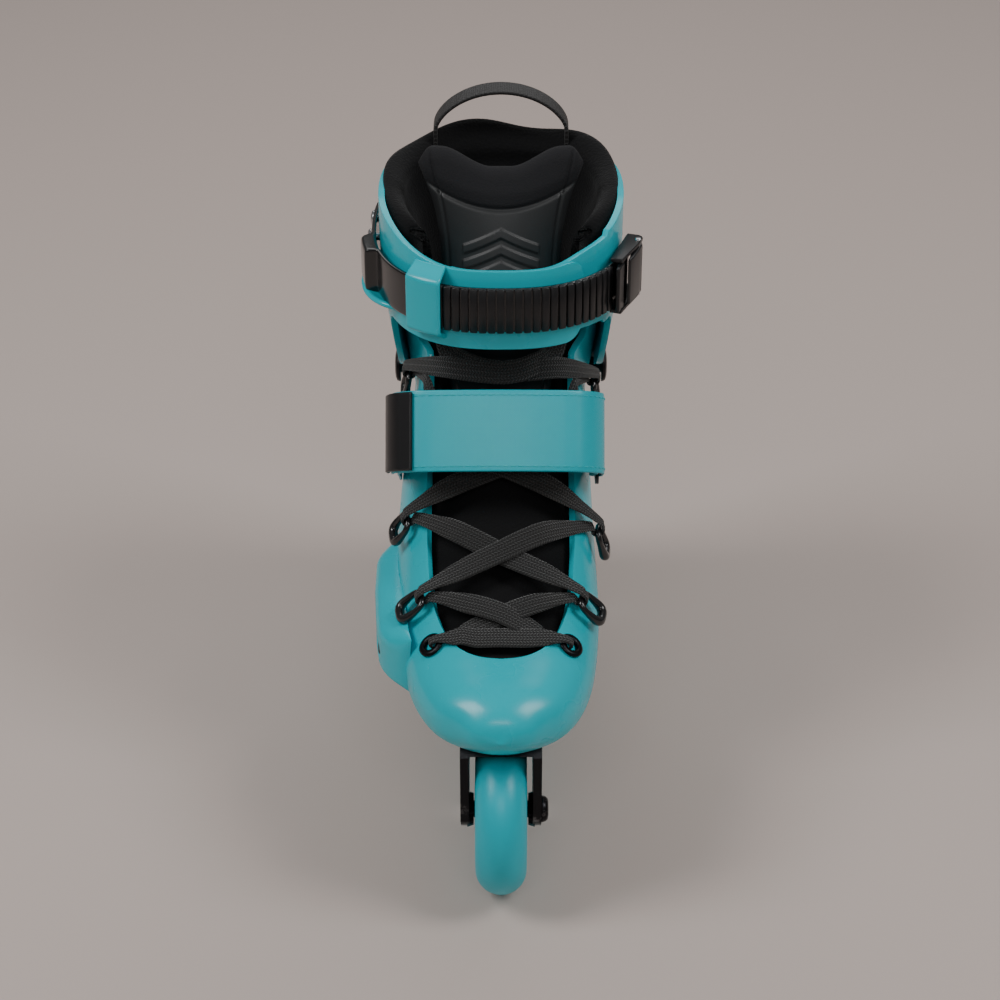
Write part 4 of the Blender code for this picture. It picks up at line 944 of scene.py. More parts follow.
@dataclass(frozen=True)
class Urethane(MouldedPlastic):
    """Cast wheel urethane: slightly see-through look, faint turning marks, dusty rim."""

    def dress(self, graph: Graph, shader: Node) -> None:
        """Add soft subsurface light to the plastic's pattern.

        Args:
            graph: The material's graph.
            shader: Its shader.
        """
        super().dress(graph, shader)
        shader.inputs["Subsurface Weight"].default_value = 0.12
        shader.inputs["Subsurface Radius"].default_value = (0.1, 0.6, 0.7)
        shader.inputs["Subsurface Scale"].default_value = 0.002


@dataclass(frozen=True)
class Metal(Finish):
    """Anodised or plated metal with fine brushing and bright worn spots."""

    brushing: float = 0.008
    worn: Rgb = (0.4, 0.4, 0.41)
    wear: float = 0.35

    def dress(self, graph: Graph, shader: Node) -> None:
        """Vary the gloss along fine lines, and show paler metal in small worn spots.

        Args:
            graph: The material's graph.
            shader: Its shader.
        """
        shader.inputs["Metallic"].default_value = 1.0
        vector = self.place(graph)
        grain = self.use(graph, Effect.GRAIN, vector, Scale=1400.0)
        wear = self.use(graph, Effect.WEAR, vector, Top=0.06, Amount=self.wear)
        base = graph.mix(grain.outputs["Patches"], self.tint(0.88), self.tint(1.12))
        graph.feed(shader.inputs["Base Color"],
                   graph.mix(wear.outputs["Mask"], base, (*self.worn, 1.0)))
        graph.feed(shader.inputs["Roughness"],
                   graph.remap(grain.outputs["Height"], 0.3, 0.7, self.roughness - 0.06,
                               self.roughness + 0.08))
        self.bump(graph, shader, grain.outputs["Height"], self.brushing)


@dataclass(frozen=True)
class Knit(Finish):
    """Padded lining cloth with small cells, folds and a soft sheen."""

    scale: float = 900.0
    depth: float = 0.25
    spread: float = 0.35
    sheen: float = 0.08

    def dress(self, graph: Graph, shader: Node) -> None:
        """Shade and raise the cloth by its cells.

        Args:
            graph: The material's graph.
            shader: Its shader.
        """
        knit = self.use(graph, Effect.KNIT, self.place(graph), Scale=self.scale)
        graph.feed(shader.inputs["Base Color"],
                   graph.mix(knit.outputs["Shade"], self.tint(1 - self.spread),
                             self.tint(1 + self.spread)))
        shader.inputs["Specular IOR Level"].default_value = 0.2
        shader.inputs["Sheen Weight"].default_value = self.sheen
        shader.inputs["Sheen Roughness"].default_value = 0.45
        self.bump(graph, shader, knit.outputs["Height"], self.depth)


@dataclass(frozen=True)
class Webbing(Finish):
    """Flat woven tape that follows the piece's own flat coordinates, in millimetres."""

    pitch: float = 0.7
    depth: float = 0.12
    # spread: how far the weave's painted shade and painted highlight move the colour.
    spread: float = 0.12
    effect: Effect = Effect.WEAVE
    sheen: float = 0.1

    def dress(self, graph: Graph, shader: Node) -> None:
        """Paint shade into the weave's low threads and a highlight onto its crests, and raise the
        tape by its weave.

        Args:
            graph: The material's graph.
            shader: Its shader.
        """
        weave = self.use(graph, self.effect, self.place(graph, flat=True), Pitch=self.pitch)
        patch = graph.noise(self.place(graph), 60.0, 4.0)
        # Painted shade and highlight: the colour follows the weave's height, darker where low and
        # lighter where high, by the spread.
        painted_weave_shade = graph.mix(weave.outputs["Shade"], self.tint(1 - self.spread),
                          self.tint(1 + self.spread))
        graph.feed(shader.inputs["Base Color"],
                   graph.mix(graph.math("MULTIPLY", patch, 0.25), painted_weave_shade, self.tint(0.7)))
        graph.feed(shader.inputs["Roughness"],
                   graph.remap(weave.outputs["Height"], 0.0, 1.0, self.roughness + 0.1,
                               self.roughness - 0.05))
        shader.inputs["Sheen Weight"].default_value = self.sheen
        self.bump(graph, shader, weave.outputs["Height"], self.depth)


@dataclass(frozen=True)
class TongueCloth(Knit):
    """Two cloths met at a seam: satin panel below it, matt knit above it.

    The flat coordinates hold x and the height above the seam, in millimetres.
    """

    upper: Rgb = (0.008, 0.008, 0.010)

    def dress(self, graph: Graph, shader: Node) -> None:
        """Mix the two cloths by the height above the seam.

        Args:
            graph: The material's graph.
            shader: Its shader.
        """
        knit = self.use(graph, Effect.KNIT, self.place(graph), Scale=self.scale)
        split = graph.node("ShaderNodeSeparateXYZ")
        graph.feed(split.inputs[0], self.place(graph, flat=True))
        above = graph.remap(split.outputs["Y"], -0.2, 0.4, 0.0, 1.0)
        panel = graph.mix(knit.outputs["Shade"], self.tint(0.85), self.tint(1.15))
        graph.feed(shader.inputs["Base Color"], graph.mix(above, panel, (*self.upper, 1.0)))
        graph.feed(shader.inputs["Roughness"],
                   graph.remap(above, 0.0, 1.0, self.roughness, 0.9))
        depth = graph.remap(above, 0.0, 1.0, 0.12, 1.0)
        self.bump(graph, shader, graph.math("MULTIPLY", knit.outputs["Height"], depth),
                  self.depth)


TEAL: Rgb = (0.0, 0.48, 0.57)
SHELL_TEAL = MouldedPlastic("shell_teal", TEAL, 0.25, coat=0.1, scuff=0.1, wear_top=0.095)
WHEEL_TEAL = Urethane("wheel_teal", (0.0, 0.47, 0.57), 0.36, grain=0.01, scuff=0.25,
                      wear_top=0.03)
STRAP_TEAL = Webbing("strap_teal", (0.0, 0.45, 0.54), 0.3, pitch=0.55, depth=0.03, spread=0.05,
                     sheen=0.0)
THREAD_TEAL = Finish("thread_teal", (0.01, 0.5, 0.56), 0.6)
BLACK_PLASTIC = MouldedPlastic("black_plastic_fine", (0.009, 0.009, 0.010), 0.36,
                               grain=0.02, grain_scale=1300.0, scuff=0.04)
GLOSS_BLACK = MouldedPlastic("gloss_black", (0.008, 0.008, 0.009), 0.2, grain=0.004,
                             coat=0.5, scuff=0.03)
SOFT_BLACK = MouldedPlastic("soft_black", (0.02, 0.02, 0.021), 0.5, grain=0.05,
                            grain_scale=700.0, scuff=0.05)
BLACK_METAL = Metal("black_anodised", (0.02, 0.02, 0.022), 0.34)
BRIGHT_METAL = Metal("bright_steel", (0.6, 0.6, 0.62), 0.22, wear=0.1)
LINER_CLOTH = Knit("liner_cloth", (0.004, 0.004, 0.0045), 0.85, scale=750.0, depth=0.22)
TONGUE_CLOTH = TongueCloth("tongue_cloth", (0.02, 0.021, 0.022), 0.46, scale=1300.0,
                           depth=0.16)
FOAM_CLOTH = Knit("insole_cloth", (0.05, 0.05, 0.055), 0.9, scale=500.0, depth=0.2)
# The lace's large spread paints strong shade between the braid's yarns and a highlight on their
# tops.
LACE_BRAID = Webbing("lace_braid_cloth", (0.016, 0.016, 0.0155), 0.8, pitch=1.5, depth=0.5,
                     spread=0.75, effect=Effect.BRAID, sheen=0.2)
TAPE_BLACK = Webbing("tape_black", (0.009, 0.008, 0.008), 0.5, pitch=1.1, depth=0.2,
                     spread=0.5)


# ---- the boot's form

Inset = Callable[[Array], tuple[Array, Array, Array]]
Opening = Callable[[Array], Array]


def no_inset(u: Array) -> tuple[Array, Array, Array]:
    """The boot's form itself."""
    return np.zeros_like(u), np.zeros_like(u), np.zeros_like(u)


@dataclass(frozen=True)
class BootForm:
    """Loft of the boot: sections that fan round the ankle from the toe to the collar.

    Args:
        stations: Top (y, z), low or back (y, z), outer half, inner half, share of the
            height below the widest line, and the exponents of the two halves.
    """

    stations: Array

    def frame(self, u: Array, inset: Inset) -> list[Array]:
        """Centre, up, rise, drop, inner and outer half widths and exponents at stations.

        Args:
            u: Stations.
            inset: How far the form shrinks there.

        Returns:
            Centre, up, rise, drop, inner half, outer half and the two exponents.
        """
        row = np.moveaxis(spline(self.stations, u), -1, 0)
        top_y, top_z, low_y, low_z, outer, inner, share, n_top, n_low = row
        top_in, low_in, side_in = inset(np.asarray(u, float))
        top, low = np.stack([top_y, top_z], -1), np.stack([low_y, low_z], -1)
        length = np.linalg.norm(top - low, axis=-1)
        up = (top - low) / length[..., None]
        centre = low + (top - low) * share[..., None]
        return [centre, up, length * (1 - share) - top_in, length * share - low_in,
                inner - side_in, outer - side_in, n_top, n_low]

    def points(self, u: Array, angles: Array, inset: Inset = no_inset) -> Array:
        """Points at stations and angles; x and height are sin and cos to a power.

        Args:
            u: Stations.
            angles: Angles from the top, round the inner side first; same shape or wider.
            inset: How far the form shrinks there.

        Returns:
            Points, with one more axis of three.
        """
        u, angles = np.broadcast_arrays(u, angles)
        centre, up, rise, drop, inner, outer, n_top, n_low = self.frame(u, inset)
        c, s = np.cos(angles), np.sin(angles)
        power = np.where(c >= 0, 2 / n_top, 2 / n_low)
        height = signed(c, power) * np.where(c >= 0, rise, drop)
        x = signed(s, power) * np.where(s >= 0, inner, outer)
        return np.stack([x, centre[..., 0] + height * up[..., 0],
                         centre[..., 1] + height * up[..., 1]], axis=-1)

    def surface(self, u: Array, shares: Array, opening: Opening,
                inset: Inset = no_inset) -> Array:
        """Grid of points spread evenly round each section outside its opening.

        A table of angles by arc length is made on 401 stations, then read at each point.

        Args:
            u: Stations, rows by columns.
            shares: Share of the way round, one for each column.
            opening: Half width of the opening at a station.
            inset: How far the form shrinks.

        Returns:
            Points, rows by columns by three.
        """
        last_row = len(self.stations) - 1
        table = np.linspace(0, last_row, 401)
        _, _, _, _, inner, outer, n_top, _ = self.frame(table, inset)
        gap = opening(table)
        first = np.arcsin(np.clip(gap / inner, 0, 1) ** (n_top / 2))
        last = 2 * np.pi - np.arcsin(np.clip(gap / outer, 0, 1) ** (n_top / 2))
        dense = first[:, None] + (last - first)[:, None] * np.linspace(0, 1, 241)
        run = run_lengths(self.points(table[:, None], dense, inset), 1)
        wanted = run[:, -1:] * shares[None]
        spot = np.clip((run[:, None] <= wanted[..., None]).sum(-1) - 1, 0, 239)
        near, far = np.take_along_axis(run, spot, 1), np.take_along_axis(run, spot + 1, 1)
        low = np.take_along_axis(dense, spot, 1)
        high = np.take_along_axis(dense, spot + 1, 1)
        angle = low + (high - low) * (wanted - near) / np.maximum(far - near, 1e-9)
        place = np.clip(u / last_row * 400, 0, 399.999)
        k = place.astype(int)
        column = np.broadcast_to(np.arange(len(shares)), k.shape)
        t = place - k
        return self.points(u, angle[k, column] * (1 - t) + angle[k + 1, column] * t, inset)

    def dorsal(self, u: float, x: float, lift: float) -> tuple[Array, Array]:
        """Point above the boot's top at a station and an x, and the outward normal there.

        Args:
            u: Station.
            x: Distance to the inner side.
            lift: Height above the form.

        Returns:
            The point and the normal.
        """
        def at(station: float, across: float) -> Array:
            """Point of the form at a station and an x.

            Args:
                station: Station.
                across: Distance to the inner side.

            Returns:
                The point.
            """
            _, _, _, _, inner, outer, n_top, _ = self.frame(np.array(station), no_inset)
            half = inner if across >= 0 else outer
            angle = math.asin(min(1.0, abs(across) / float(half)) ** (float(n_top) / 2))
            return self.points(np.array(station), np.array(math.copysign(angle, across)))

        along = at(u + 0.05, x) - at(u - 0.05, x)
        normal = unit(np.cross(at(u, x + 0.5) - at(u, x - 0.5), along))
        return at(u, x) + normal * lift, normal


FORM = BootForm(np.array([
    (-158.0, 106.0, -157.8, 105.0, 1.0, 1.0, 0.50, 2.0, 2.0),
    (-155.0, 113.5, -155.0, 99.0, 12.0, 12.0, 0.50, 2.0, 2.1),
    (-149.0, 119.0, -148.0, 92.5, 20.0, 20.0, 0.50, 2.0, 2.3),
    (-140.0, 122.5, -138.0, 88.0, 30.0, 30.0, 0.46, 2.1, 2.7),
    (-128.0, 124.5, -124.0, 86.0, 37.0, 37.0, 0.44, 2.1, 3.2),
    (-112.0, 127.5, -106.0, 86.0, 42.5, 42.0, 0.42, 2.1, 3.8),
    (-92.0, 134.0, -84.0, 86.0, 46.0, 45.0, 0.40, 2.1, 4.2),
    (-70.0, 145.0, -58.0, 86.0, 48.5, 46.5, 0.38, 2.1, 4.2),
    (-48.0, 161.0, -28.0, 86.0, 50.0, 46.0, 0.38, 2.1, 4.2),
    (-30.0, 180.0, 5.0, 88.0, 50.0, 45.0, 0.38, 2.1, 4.0),
    (-18.0, 199.0, 42.0, 93.9, 48.0, 44.0, 0.42, 2.1, 3.6),
    (-11.0, 216.0, 80.0, 94.2, 45.0, 43.0, 0.46, 2.2, 3.2),
    (-7.0, 230.0, 108.0, 98.0, 43.0, 42.0, 0.50, 2.2, 2.9),
    (-6.0, 241.0, 120.0, 116.0, 42.5, 42.0, 0.50, 2.2, 2.5),
    (-6.5, 251.0, 123.0, 140.0, 42.5, 42.0, 0.50, 2.2, 2.4),
    (-8.0, 261.0, 119.0, 170.0, 44.5, 44.5, 0.50, 2.2, 2.3),
    (-9.5, 270.0, 113.0, 200.0, 49.0, 49.0, 0.50, 2.3, 2.4),
    (-10.0, 278.0, 108.5, 230.0, 53.0, 53.0, 0.50, 2.4, 2.4),
    (-9.0, 285.0, 106.0, 258.0, 55.0, 55.0, 0.50, 2.4, 2.4),
    (-7.0, 291.0, 104.0, 280.0, 55.4, 55.4, 0.50, 2.4, 2.4),
    (-4.0, 297.0, 101.0, 300.0, 54.8, 54.8, 0.50, 2.4, 2.4)]))


def throat(u: Array, half: float = 35.0, start: float = 4.5) -> Array:
    """Half width of the throat at stations: a round end that opens out to its sides."""
    share = np.clip((np.asarray(u, float) - start) / 4.0, 0.0, 1.0)
    return half * np.sqrt(1 - (1 - share) ** 2.6)


def merge_close(item: Item, distance: float = 0.02) -> None:
    """Merge vertices that lie together and turn the normals one way.

    Args:
        item: The piece.
        distance: How close, in millimetres.
    """
    bm = bmesh.new()
    bm.from_mesh(item.data)
    bmesh.ops.remove_doubles(bm, verts=bm.verts, dist=distance * MM)
    bmesh.ops.recalc_face_normals(bm, faces=bm.faces)
    bm.to_mesh(item.data)
    bm.free()


# ---- wheels and chassis

@dataclass
class Wheel:
    """One wheel: tyre, core and two bearings that turn together on their axle.

    Args:
        index: Number of the wheel from the front.
        y: Place of its axle.
    """

    index: int
    y: float
    radius: float = 40.0
    width: float = 24.0
    inner: float = 22.03

    @property
    def body(self) -> str:
        """Name of the body that turns."""
        return f"wheel_{self.index}"

    def build(self) -> None:
        """Build the wheel's pieces and its axle."""
        origin = (0.0, self.y, self.radius)
        self.tyre(origin)
        self.core(origin)
        for side, word in ((-1, "outer"), (1, "inner")):
            self.bearing(origin, side, word)
        self.axle(origin)

    def tyre(self, origin: tuple[float, float, float]) -> None:
        """Round-crowned tyre; a shallow groove on each side runs round its shoulder.

        Args:
            origin: Centre of the wheel.
        """
        half = self.width / 2
        angle = np.linspace(-np.pi / 2, np.pi / 2, 33)
        crown = np.stack([self.radius - half + half * np.cos(angle), half * np.sin(angle)], -1)
        side = [(26.4, 12.0), (25.9, 11.5), (25.2, 11.5), (24.6, 11.9), (23.0, 11.6),
                (22.4, 11.0), (self.inner, 10.0)]
        left = [(r, -z) for r, z in side[::-1]]
        profile = [*left, *crown.tolist(), *side]
        tyre = put_lathe(f"tyre_{self.index}_look", profile, origin, (1, 0, 0), 128, ring=True)
        hold(tyre, self.body, WHEEL_TEAL, "teal_urethane", f"tyre_{self.index}")

    def core(self, origin: tuple[float, float, float]) -> None:
        """Core with a raised rim, a dished web, and a seat for each bearing.

        Args:
            origin: Centre of the wheel.
        """
        side = [(9.3, 5.2), (11.06, 5.2), (11.06, 11.7), (11.5, 12.1), (13.8, 12.1),
                (14.4, 11.6), (14.8, 8.4), (19.2, 7.2), (19.8, 8.8), (20.4, 9.6),
                (21.6, 9.6), (22.0, 9.2)]
        profile = side + [(r, -z) for r, z in side[::-1]]
        core = put_lathe(f"wheel_core_{self.index}_look", profile, origin, (1, 0, 0), 96,
                         ring=True)
        add_bevel(core, 0.25, 2, 25.0)
        hold(core, self.body, SOFT_BLACK, "black_plastic", f"wheel_core_{self.index}")

    def bearing(self, origin: tuple[float, float, float], side: int, word: str) -> None:
        """Bearing with a shield set back between its two rings.

        Args:
            origin: Centre of the wheel.
            side: -1 for the outer side, 1 for the inner.
            word: Name of the side.
        """
        profile = [(4.05, 5.3), (11.0, 5.3), (11.0, 12.1), (10.8, 12.3), (9.7, 12.3),
                   (9.5, 11.7), (6.2, 11.7), (6.0, 12.3), (4.2, 12.3), (4.05, 12.1)]
        ring = put_lathe(f"bearing_{self.index}_{word}_look", profile, origin,
                         (side, 0, 0), 64, ring=True)
        add_bevel(ring, 0.15, 2, 25.0)
        hold(ring, self.body, BRIGHT_METAL, "steel", f"bearing_{self.index}_{word}")

    def axle(self, origin: tuple[float, float, float]) -> None:
        """Axle bolt: shaft, domed head with a hexagonal socket.

        Args:
            origin: Centre of the wheel.
        """
        profile = [(0.0, -18.8), (3.5, -18.8), (3.95, -18.3), (3.95, 18.9), (6.1, 18.9),
                   (6.3, 19.4), (5.9, 20.8), (5.0, 21.8), (3.6, 22.2)]
        name = f"axle_{self.index}"
        put_fastener(name, "boot", origin, (1, 0, 0), profile, 2.6, 1.9, BLACK_METAL,
                     "black_aluminium")


def put_fastener(name: str, body: str, origin: Floats, axis: Floats,
                 profile: Outline, socket: float, depth: float,
                 finish: Finish, slot: str, corners: int = 6) -> Item:
    """Make a turned bolt whose head has a socket, and let it stand for its CAD node.

    The socket's radius runs as r cos(pi/n) / cos(t mod 2pi/n - pi/n): a regular polygon.

    Args:
        name: Name of the CAD node.
        body: The body that it rides on.
        origin: A point on its axis.
        axis: Direction of its head.
        profile: (radius, distance) from the tip to the top of the head.
        socket: Radius of the socket's corners.
        depth: Depth of the socket.
        finish: Its finish.
        slot: Its material slot.
        corners: Number of the socket's corners.

    Returns:
        The object.
    """
    segments = 48
    top = profile[-1][1]
    rings = [*profile, (socket * 1.12, top + 0.02), (socket, top - 0.15),
             (socket, top - depth), (0.02, top - depth)]
    grid = lathe_grid([(1.0, z) for _, z in rings], origin, axis, segments)
    centre = grid.mean(axis=1, keepdims=True)
    turn = np.linspace(0, 2 * np.pi, segments, endpoint=False)
    part = 2 * np.pi / corners
    polygon = np.cos(part / 2) / np.cos(np.mod(turn, part) - part / 2)
    radius = np.array([r for r, _ in rings])[:, None] * np.ones(segments)
    radius[-4:-1] *= polygon
    grid = centre + (grid - centre) * np.maximum(radius, 0.02)[..., None]
    item = put_tube(f"{name}_look", grid)
    add_bevel(item, 0.12, 2, 28.0)
    return hold(item, body, finish, slot, name)


@dataclass
class Chassis:
    """The milled channel and its bolts, carried over from the solid model."""

    nodes: dict[str, Item]

    def build(self) -> None:
        """Give the channel and its hidden metal their finishes."""
        metal = [name for name in self.nodes if name.startswith(("chassis", "bearing_spacer"))]
        self.dress(metal, BLACK_METAL, "black_aluminium")
        self.dress(["mount_bolt_front", "mount_bolt_rear"], BRIGHT_METAL, "steel")
        self.dress(["strap_ring"], BLACK_PLASTIC, "black_plastic")

    def dress(self, names: Sequence[str], finish: Finish, slot: str) -> None:
        """Put a finish in every material slot of CAD nodes.

        Args:
            names: The CAD nodes.
            finish: Their finish.
            slot: Not used.
        """
        for name in names:
            item = self.nodes[name]
            if not item.material_slots:
                item.data.materials.append(finish.material())
            for place in item.material_slots:
                place.material = finish.material()
            LOG.info("%s keeps its CAD shape", name)


# ---- boot

@dataclass
class Shell:
    """Hard outer shell with an open throat and a thick rounded rim."""

    wall: float = 3.2
    columns: int = 181

    def top(self, share: Array) -> Array:
        """Station where the shell ends: behind the heel, at the ankles, at the throat."""
        back = np.cos(np.pi * (share - 0.5)) ** 4
        return 15.35 + 0.2 * back - 1.8 * np.abs(2 * share - 1) ** 3

    def inset(self, u: Array) -> tuple[Array, Array, Array]:
        """The form itself, flared out towards the cuff at the ankle."""
        nought = np.zeros_like(u)
        return nought, nought, -5.0 * ramp(u, 12.2, 14.2)

    def opening(self, u: Array) -> Array:
        """The throat, opened out above the top loops."""
        return throat(u) + 6.5 * ramp(u, 12.1, 13.6)

    def build(self) -> None:
        """Build the shell as one loft with a wall."""
        shares = np.linspace(0.0, 1.0, self.columns)
        nose = 0.02 + 1.2 * np.linspace(0, 1, 8) ** 1.6
        toe = np.linspace(1.4, 4.5, 18)[:-1]
        open_part = 4.5 + 8.6 * np.linspace(0, 1, 46) ** 2
        lower = np.repeat(np.concatenate([nose, toe, open_part])[:, None], self.columns, 1)
        rise = np.linspace(0, 1, 15)[1:, None]
        upper = 13.1 + (self.top(shares)[None] - 13.1) * rise
        grid = FORM.surface(np.concatenate([lower, upper]), shares, self.opening, self.inset)
        tip = np.repeat(grid[:1].mean(axis=1, keepdims=True), self.columns, 1)
        shell = put_sheet("shell_look", np.concatenate([tip, grid]), flip=True)
        merge_close(shell)
        outward_from(shell, (0.0, 0.0, 130.0))
        add_wall(shell, self.wall, 1.1)
        hold(shell, "boot", SHELL_TEAL, "teal_plastic", "shell")


def outward_from(item: Item, inside: Floats) -> None:
    """Turn an open shell's faces away from a point inside it.

    Args:
        item: The open surface.
        inside: A point inside it, in millimetres.
    """
    mesh = item.data
    count = len(mesh.polygons)
    centre, normal = np.empty(count * 3, np.float32), np.empty(count * 3, np.float32)
    mesh.polygons.foreach_get("center", centre)
    mesh.polygons.foreach_get("normal", normal)
    away = centre.reshape(-1, 3) - np.array(inside) * MM
    if float((away * normal.reshape(-1, 3)).sum()) < 0:
        mesh.flip_normals()


@dataclass
class WearPlate:
    """Replaceable scrape plate on the outer side of the forefoot, and its screws."""

    start: float = -101.0
    end: float = -8.0
    low: float = 91.0
    high: float = 122.0

    def place(self, y: Array, z: Array, lift: Array) -> Array:
        """Points above the outer side: the side's width less a tuck at both edges.

        Args:
            y: Places along the boot.
            z: Heights.
            lift: Distances above the side.

        Returns:
            The points.
        """
        width = np.interp(y, (-112, -106, -92, -70, -48, -28, 0, 20),
                          (41.5, 44.2, 46.8, 49.0, 50.4, 50.5, 50.2, 49.0))
        tuck = 7.0 * np.maximum(0, (100 - z) / 14) ** 2 + 5 * np.maximum(0, (z - 110) / 22) ** 2
        return np.stack([-(width - tuck * 0.5 + lift), y, z], axis=-1)

    def build(self) -> None:
        """Build the plate as a closed sheet with a full swell and round edges."""
        rows, cols = 97, 49
        y = np.linspace(self.start, self.end, rows)[:, None] * np.ones(cols)
        z = np.linspace(self.low, self.high, cols)[None] * np.ones((rows, 1))
        along = np.minimum(1, np.minimum((y - self.start) / 22, (self.end - y) / 18))
        up = np.minimum(1, np.minimum((z - self.low) / 5, (self.high - z) / 9))
        swell = 13.0 * np.sin(np.pi / 2 * along) ** 0.6 * np.sin(np.pi / 2 * up) ** 0.6
        dips = [np.hypot(y - spot, z - 103.0) for spot in (-78.0, -34.0)]
        well = sum(ramp(dip, 7.2, 5.0) for dip in dips)
        outer = self.place(y, z, swell - 3.0 - 1.4 * well)
        inner = self.place(y, z, np.full_like(y, -3.4))
        verts = np.concatenate([outer.reshape(-1, 3), inner.reshape(-1, 3)])
        faces = np.concatenate([grid_faces(rows, cols), rim_faces(rows, cols),
                                grid_faces(rows, cols, start=rows * cols)[:, ::-1]])
        plate = put_mesh("wear_plate_look", verts, faces)
        face_outwards(plate)
        add_bevel(plate, 0.5, 2, 40.0)
        hold(plate, "boot", SHELL_TEAL, "teal_plastic", "wear_plate")
        profile = [(0.0, 47.2), (2.0, 47.2), (2.0, 55.5), (4.2, 55.5), (4.2, 56.8),
                   (3.8, 57.4), (3.0, 57.7)]
        for index, spot in enumerate((-78.0, -34.0), start=1):
            put_fastener(f"plate_screw_{index}", "boot", (0, spot, 103.0), (-1, 0, 0),
                         profile, 2.2, 1.3, SOFT_BLACK, "black_plastic")


def rim_faces(rows: int, cols: int) -> Array:
    """Quads that join the borders of two equal grids stored one after the other.

    Args:
        rows: Rows of each grid.
        cols: Columns of each grid.

    Returns:
        Four vertex numbers for each quad.
    """
    number = np.arange(rows * cols).reshape(rows, cols)
    loop = np.concatenate([number[0, :-1], number[:-1, -1], number[-1, :0:-1],
                           number[:0:-1, 0]])
    after = np.roll(loop, -1)
    return np.stack([loop, after, after + rows * cols, loop + rows * cols], axis=-1)


@dataclass
class Liner:
    """Padded inner boot with a thick collar that rolls over the cuff's rim."""

    columns: int = 161
    wall: float = 4.0
    collar: float = 11.0

    def inset(self, u: Array) -> tuple[Array, Array, Array]:
        """How far the liner lies inside the boot's form, at its top, sole and sides.

        Args:
            u: Stations.

        Returns:
            Insets at the top, the sole and the sides.
        """
        toe = 4.5 * np.exp(-np.maximum(0.0, u - 1.6) / 0.9)
        heel = 6.6 * line(u, 8, 10) * (1 - line(u, 11.6, 12.8))
        vamp = 2.8 * (1 - line(u, 8, 9.5))
        slant = 2.2 * line(u, 11.8, 13) * (1 - line(u, 14.6, 16))
        collar = 2.6 * line(u, 15.8, 17.4)
        return (4.8 + vamp + toe - collar, 4.6 + heel + slant + toe - 0.3 * collar,
                5.2 + toe + 0.4 * vamp - collar)

    def opening(self, u: Array) -> Array:
        """Half width of the front opening, where the tongue lies."""
        return throat(u, 33.0, 8.8) + 9.0 * line(u, 12.8, 15.0)

    def top(self, share: Array) -> Array:
        """Station where the collar ends: waved behind, lower beside the tongue.

        Args:
            share: Share of the way round the section.

        Returns:
            Stations.
        """
        back = np.sin(np.pi * share) ** 0.3
        waves = 0.09 * np.sin(8 * np.pi * share) * np.sin(np.pi * share) ** 2
        return 17.0 + 2.42 * back + waves

    def build(self) -> None:
        """Build front and back faces, round all their edges, and dress the liner."""
        shares = crowded(self.columns, 0.72)
        foot = np.concatenate([np.linspace(1.75, 8.8, 22)[:-1],
                               8.8 + 4.3 * np.linspace(0, 1, 24) ** 1.7])
        lower = np.repeat(foot[:, None], self.columns, 1)
        rise = crowded(74, 0.75)[1:, None]
        u = np.concatenate([lower, 13.1 + (self.top(shares)[None] - 13.1) * rise])
        outer = FORM.surface(u, shares, self.opening, self.inset)
        normals = -grid_normals(outer)
        z = outer[..., 2]
        wall = self.wall + (self.collar - self.wall) * ramp(z, 205.0, 250.0)
        to_top = run_lengths(outer[::-1], 0)[::-1]
        run = run_lengths(outer, 1)
        to_side = np.minimum(run, run[:, -1:] - run)
        to_side = np.where(self.opening(u) > 1.0, to_side, 50.0)
        rounding = edge_rise(to_top, 8.5) * edge_rise(to_side, 6.5)
        bulge = (4.0 * ramp(z, 258.0, 276.0) + 5.5 * ramp(z, 279.0, 292.0)) * edge_rise(
            to_side, 18.0)
        seam = 1.3 * np.exp(-((to_top - 27.0) / 1.3) ** 2) * ramp(z, 225.0, 245.0)
        middle = outer + normals * (bulge - wall / 2)[..., None]
        half = wall / 2 * rounding
        front = middle + normals * (half - seam * rounding)[..., None]
        back = middle - normals * half[..., None]
        rows, cols = u.shape
        verts = np.concatenate([front.reshape(-1, 3), back.reshape(-1, 3)])
        faces = np.concatenate([grid_faces(rows, cols)[:, ::-1],
                                grid_faces(rows, cols, start=rows * cols),
                                rim_faces(rows, cols)])
        liner = put_mesh("liner_look", verts, faces)
        merge_close(liner)
        bend(liner, LINER_CLOTH, "black_fabric", "liner")


# Rows up the tongue: y, z, half width and how far its sides curl back.
TONGUE_ROWS = (
    (-30.0, 150.0, 15.0, 6.0), (-19.0, 168.0, 18.0, 8.0), (-9.5, 187.0, 22.0, 11.0),
    (-2.0, 206.0, 26.0, 14.0), (3.0, 225.0, 28.0, 15.0), (8.0, 243.0, 28.0, 15.0),
    (15.0, 260.0, 28.5, 13.0), (22.5, 277.0, 31.5, 9.5), (33.0, 297.0, 39.0, 4.0))


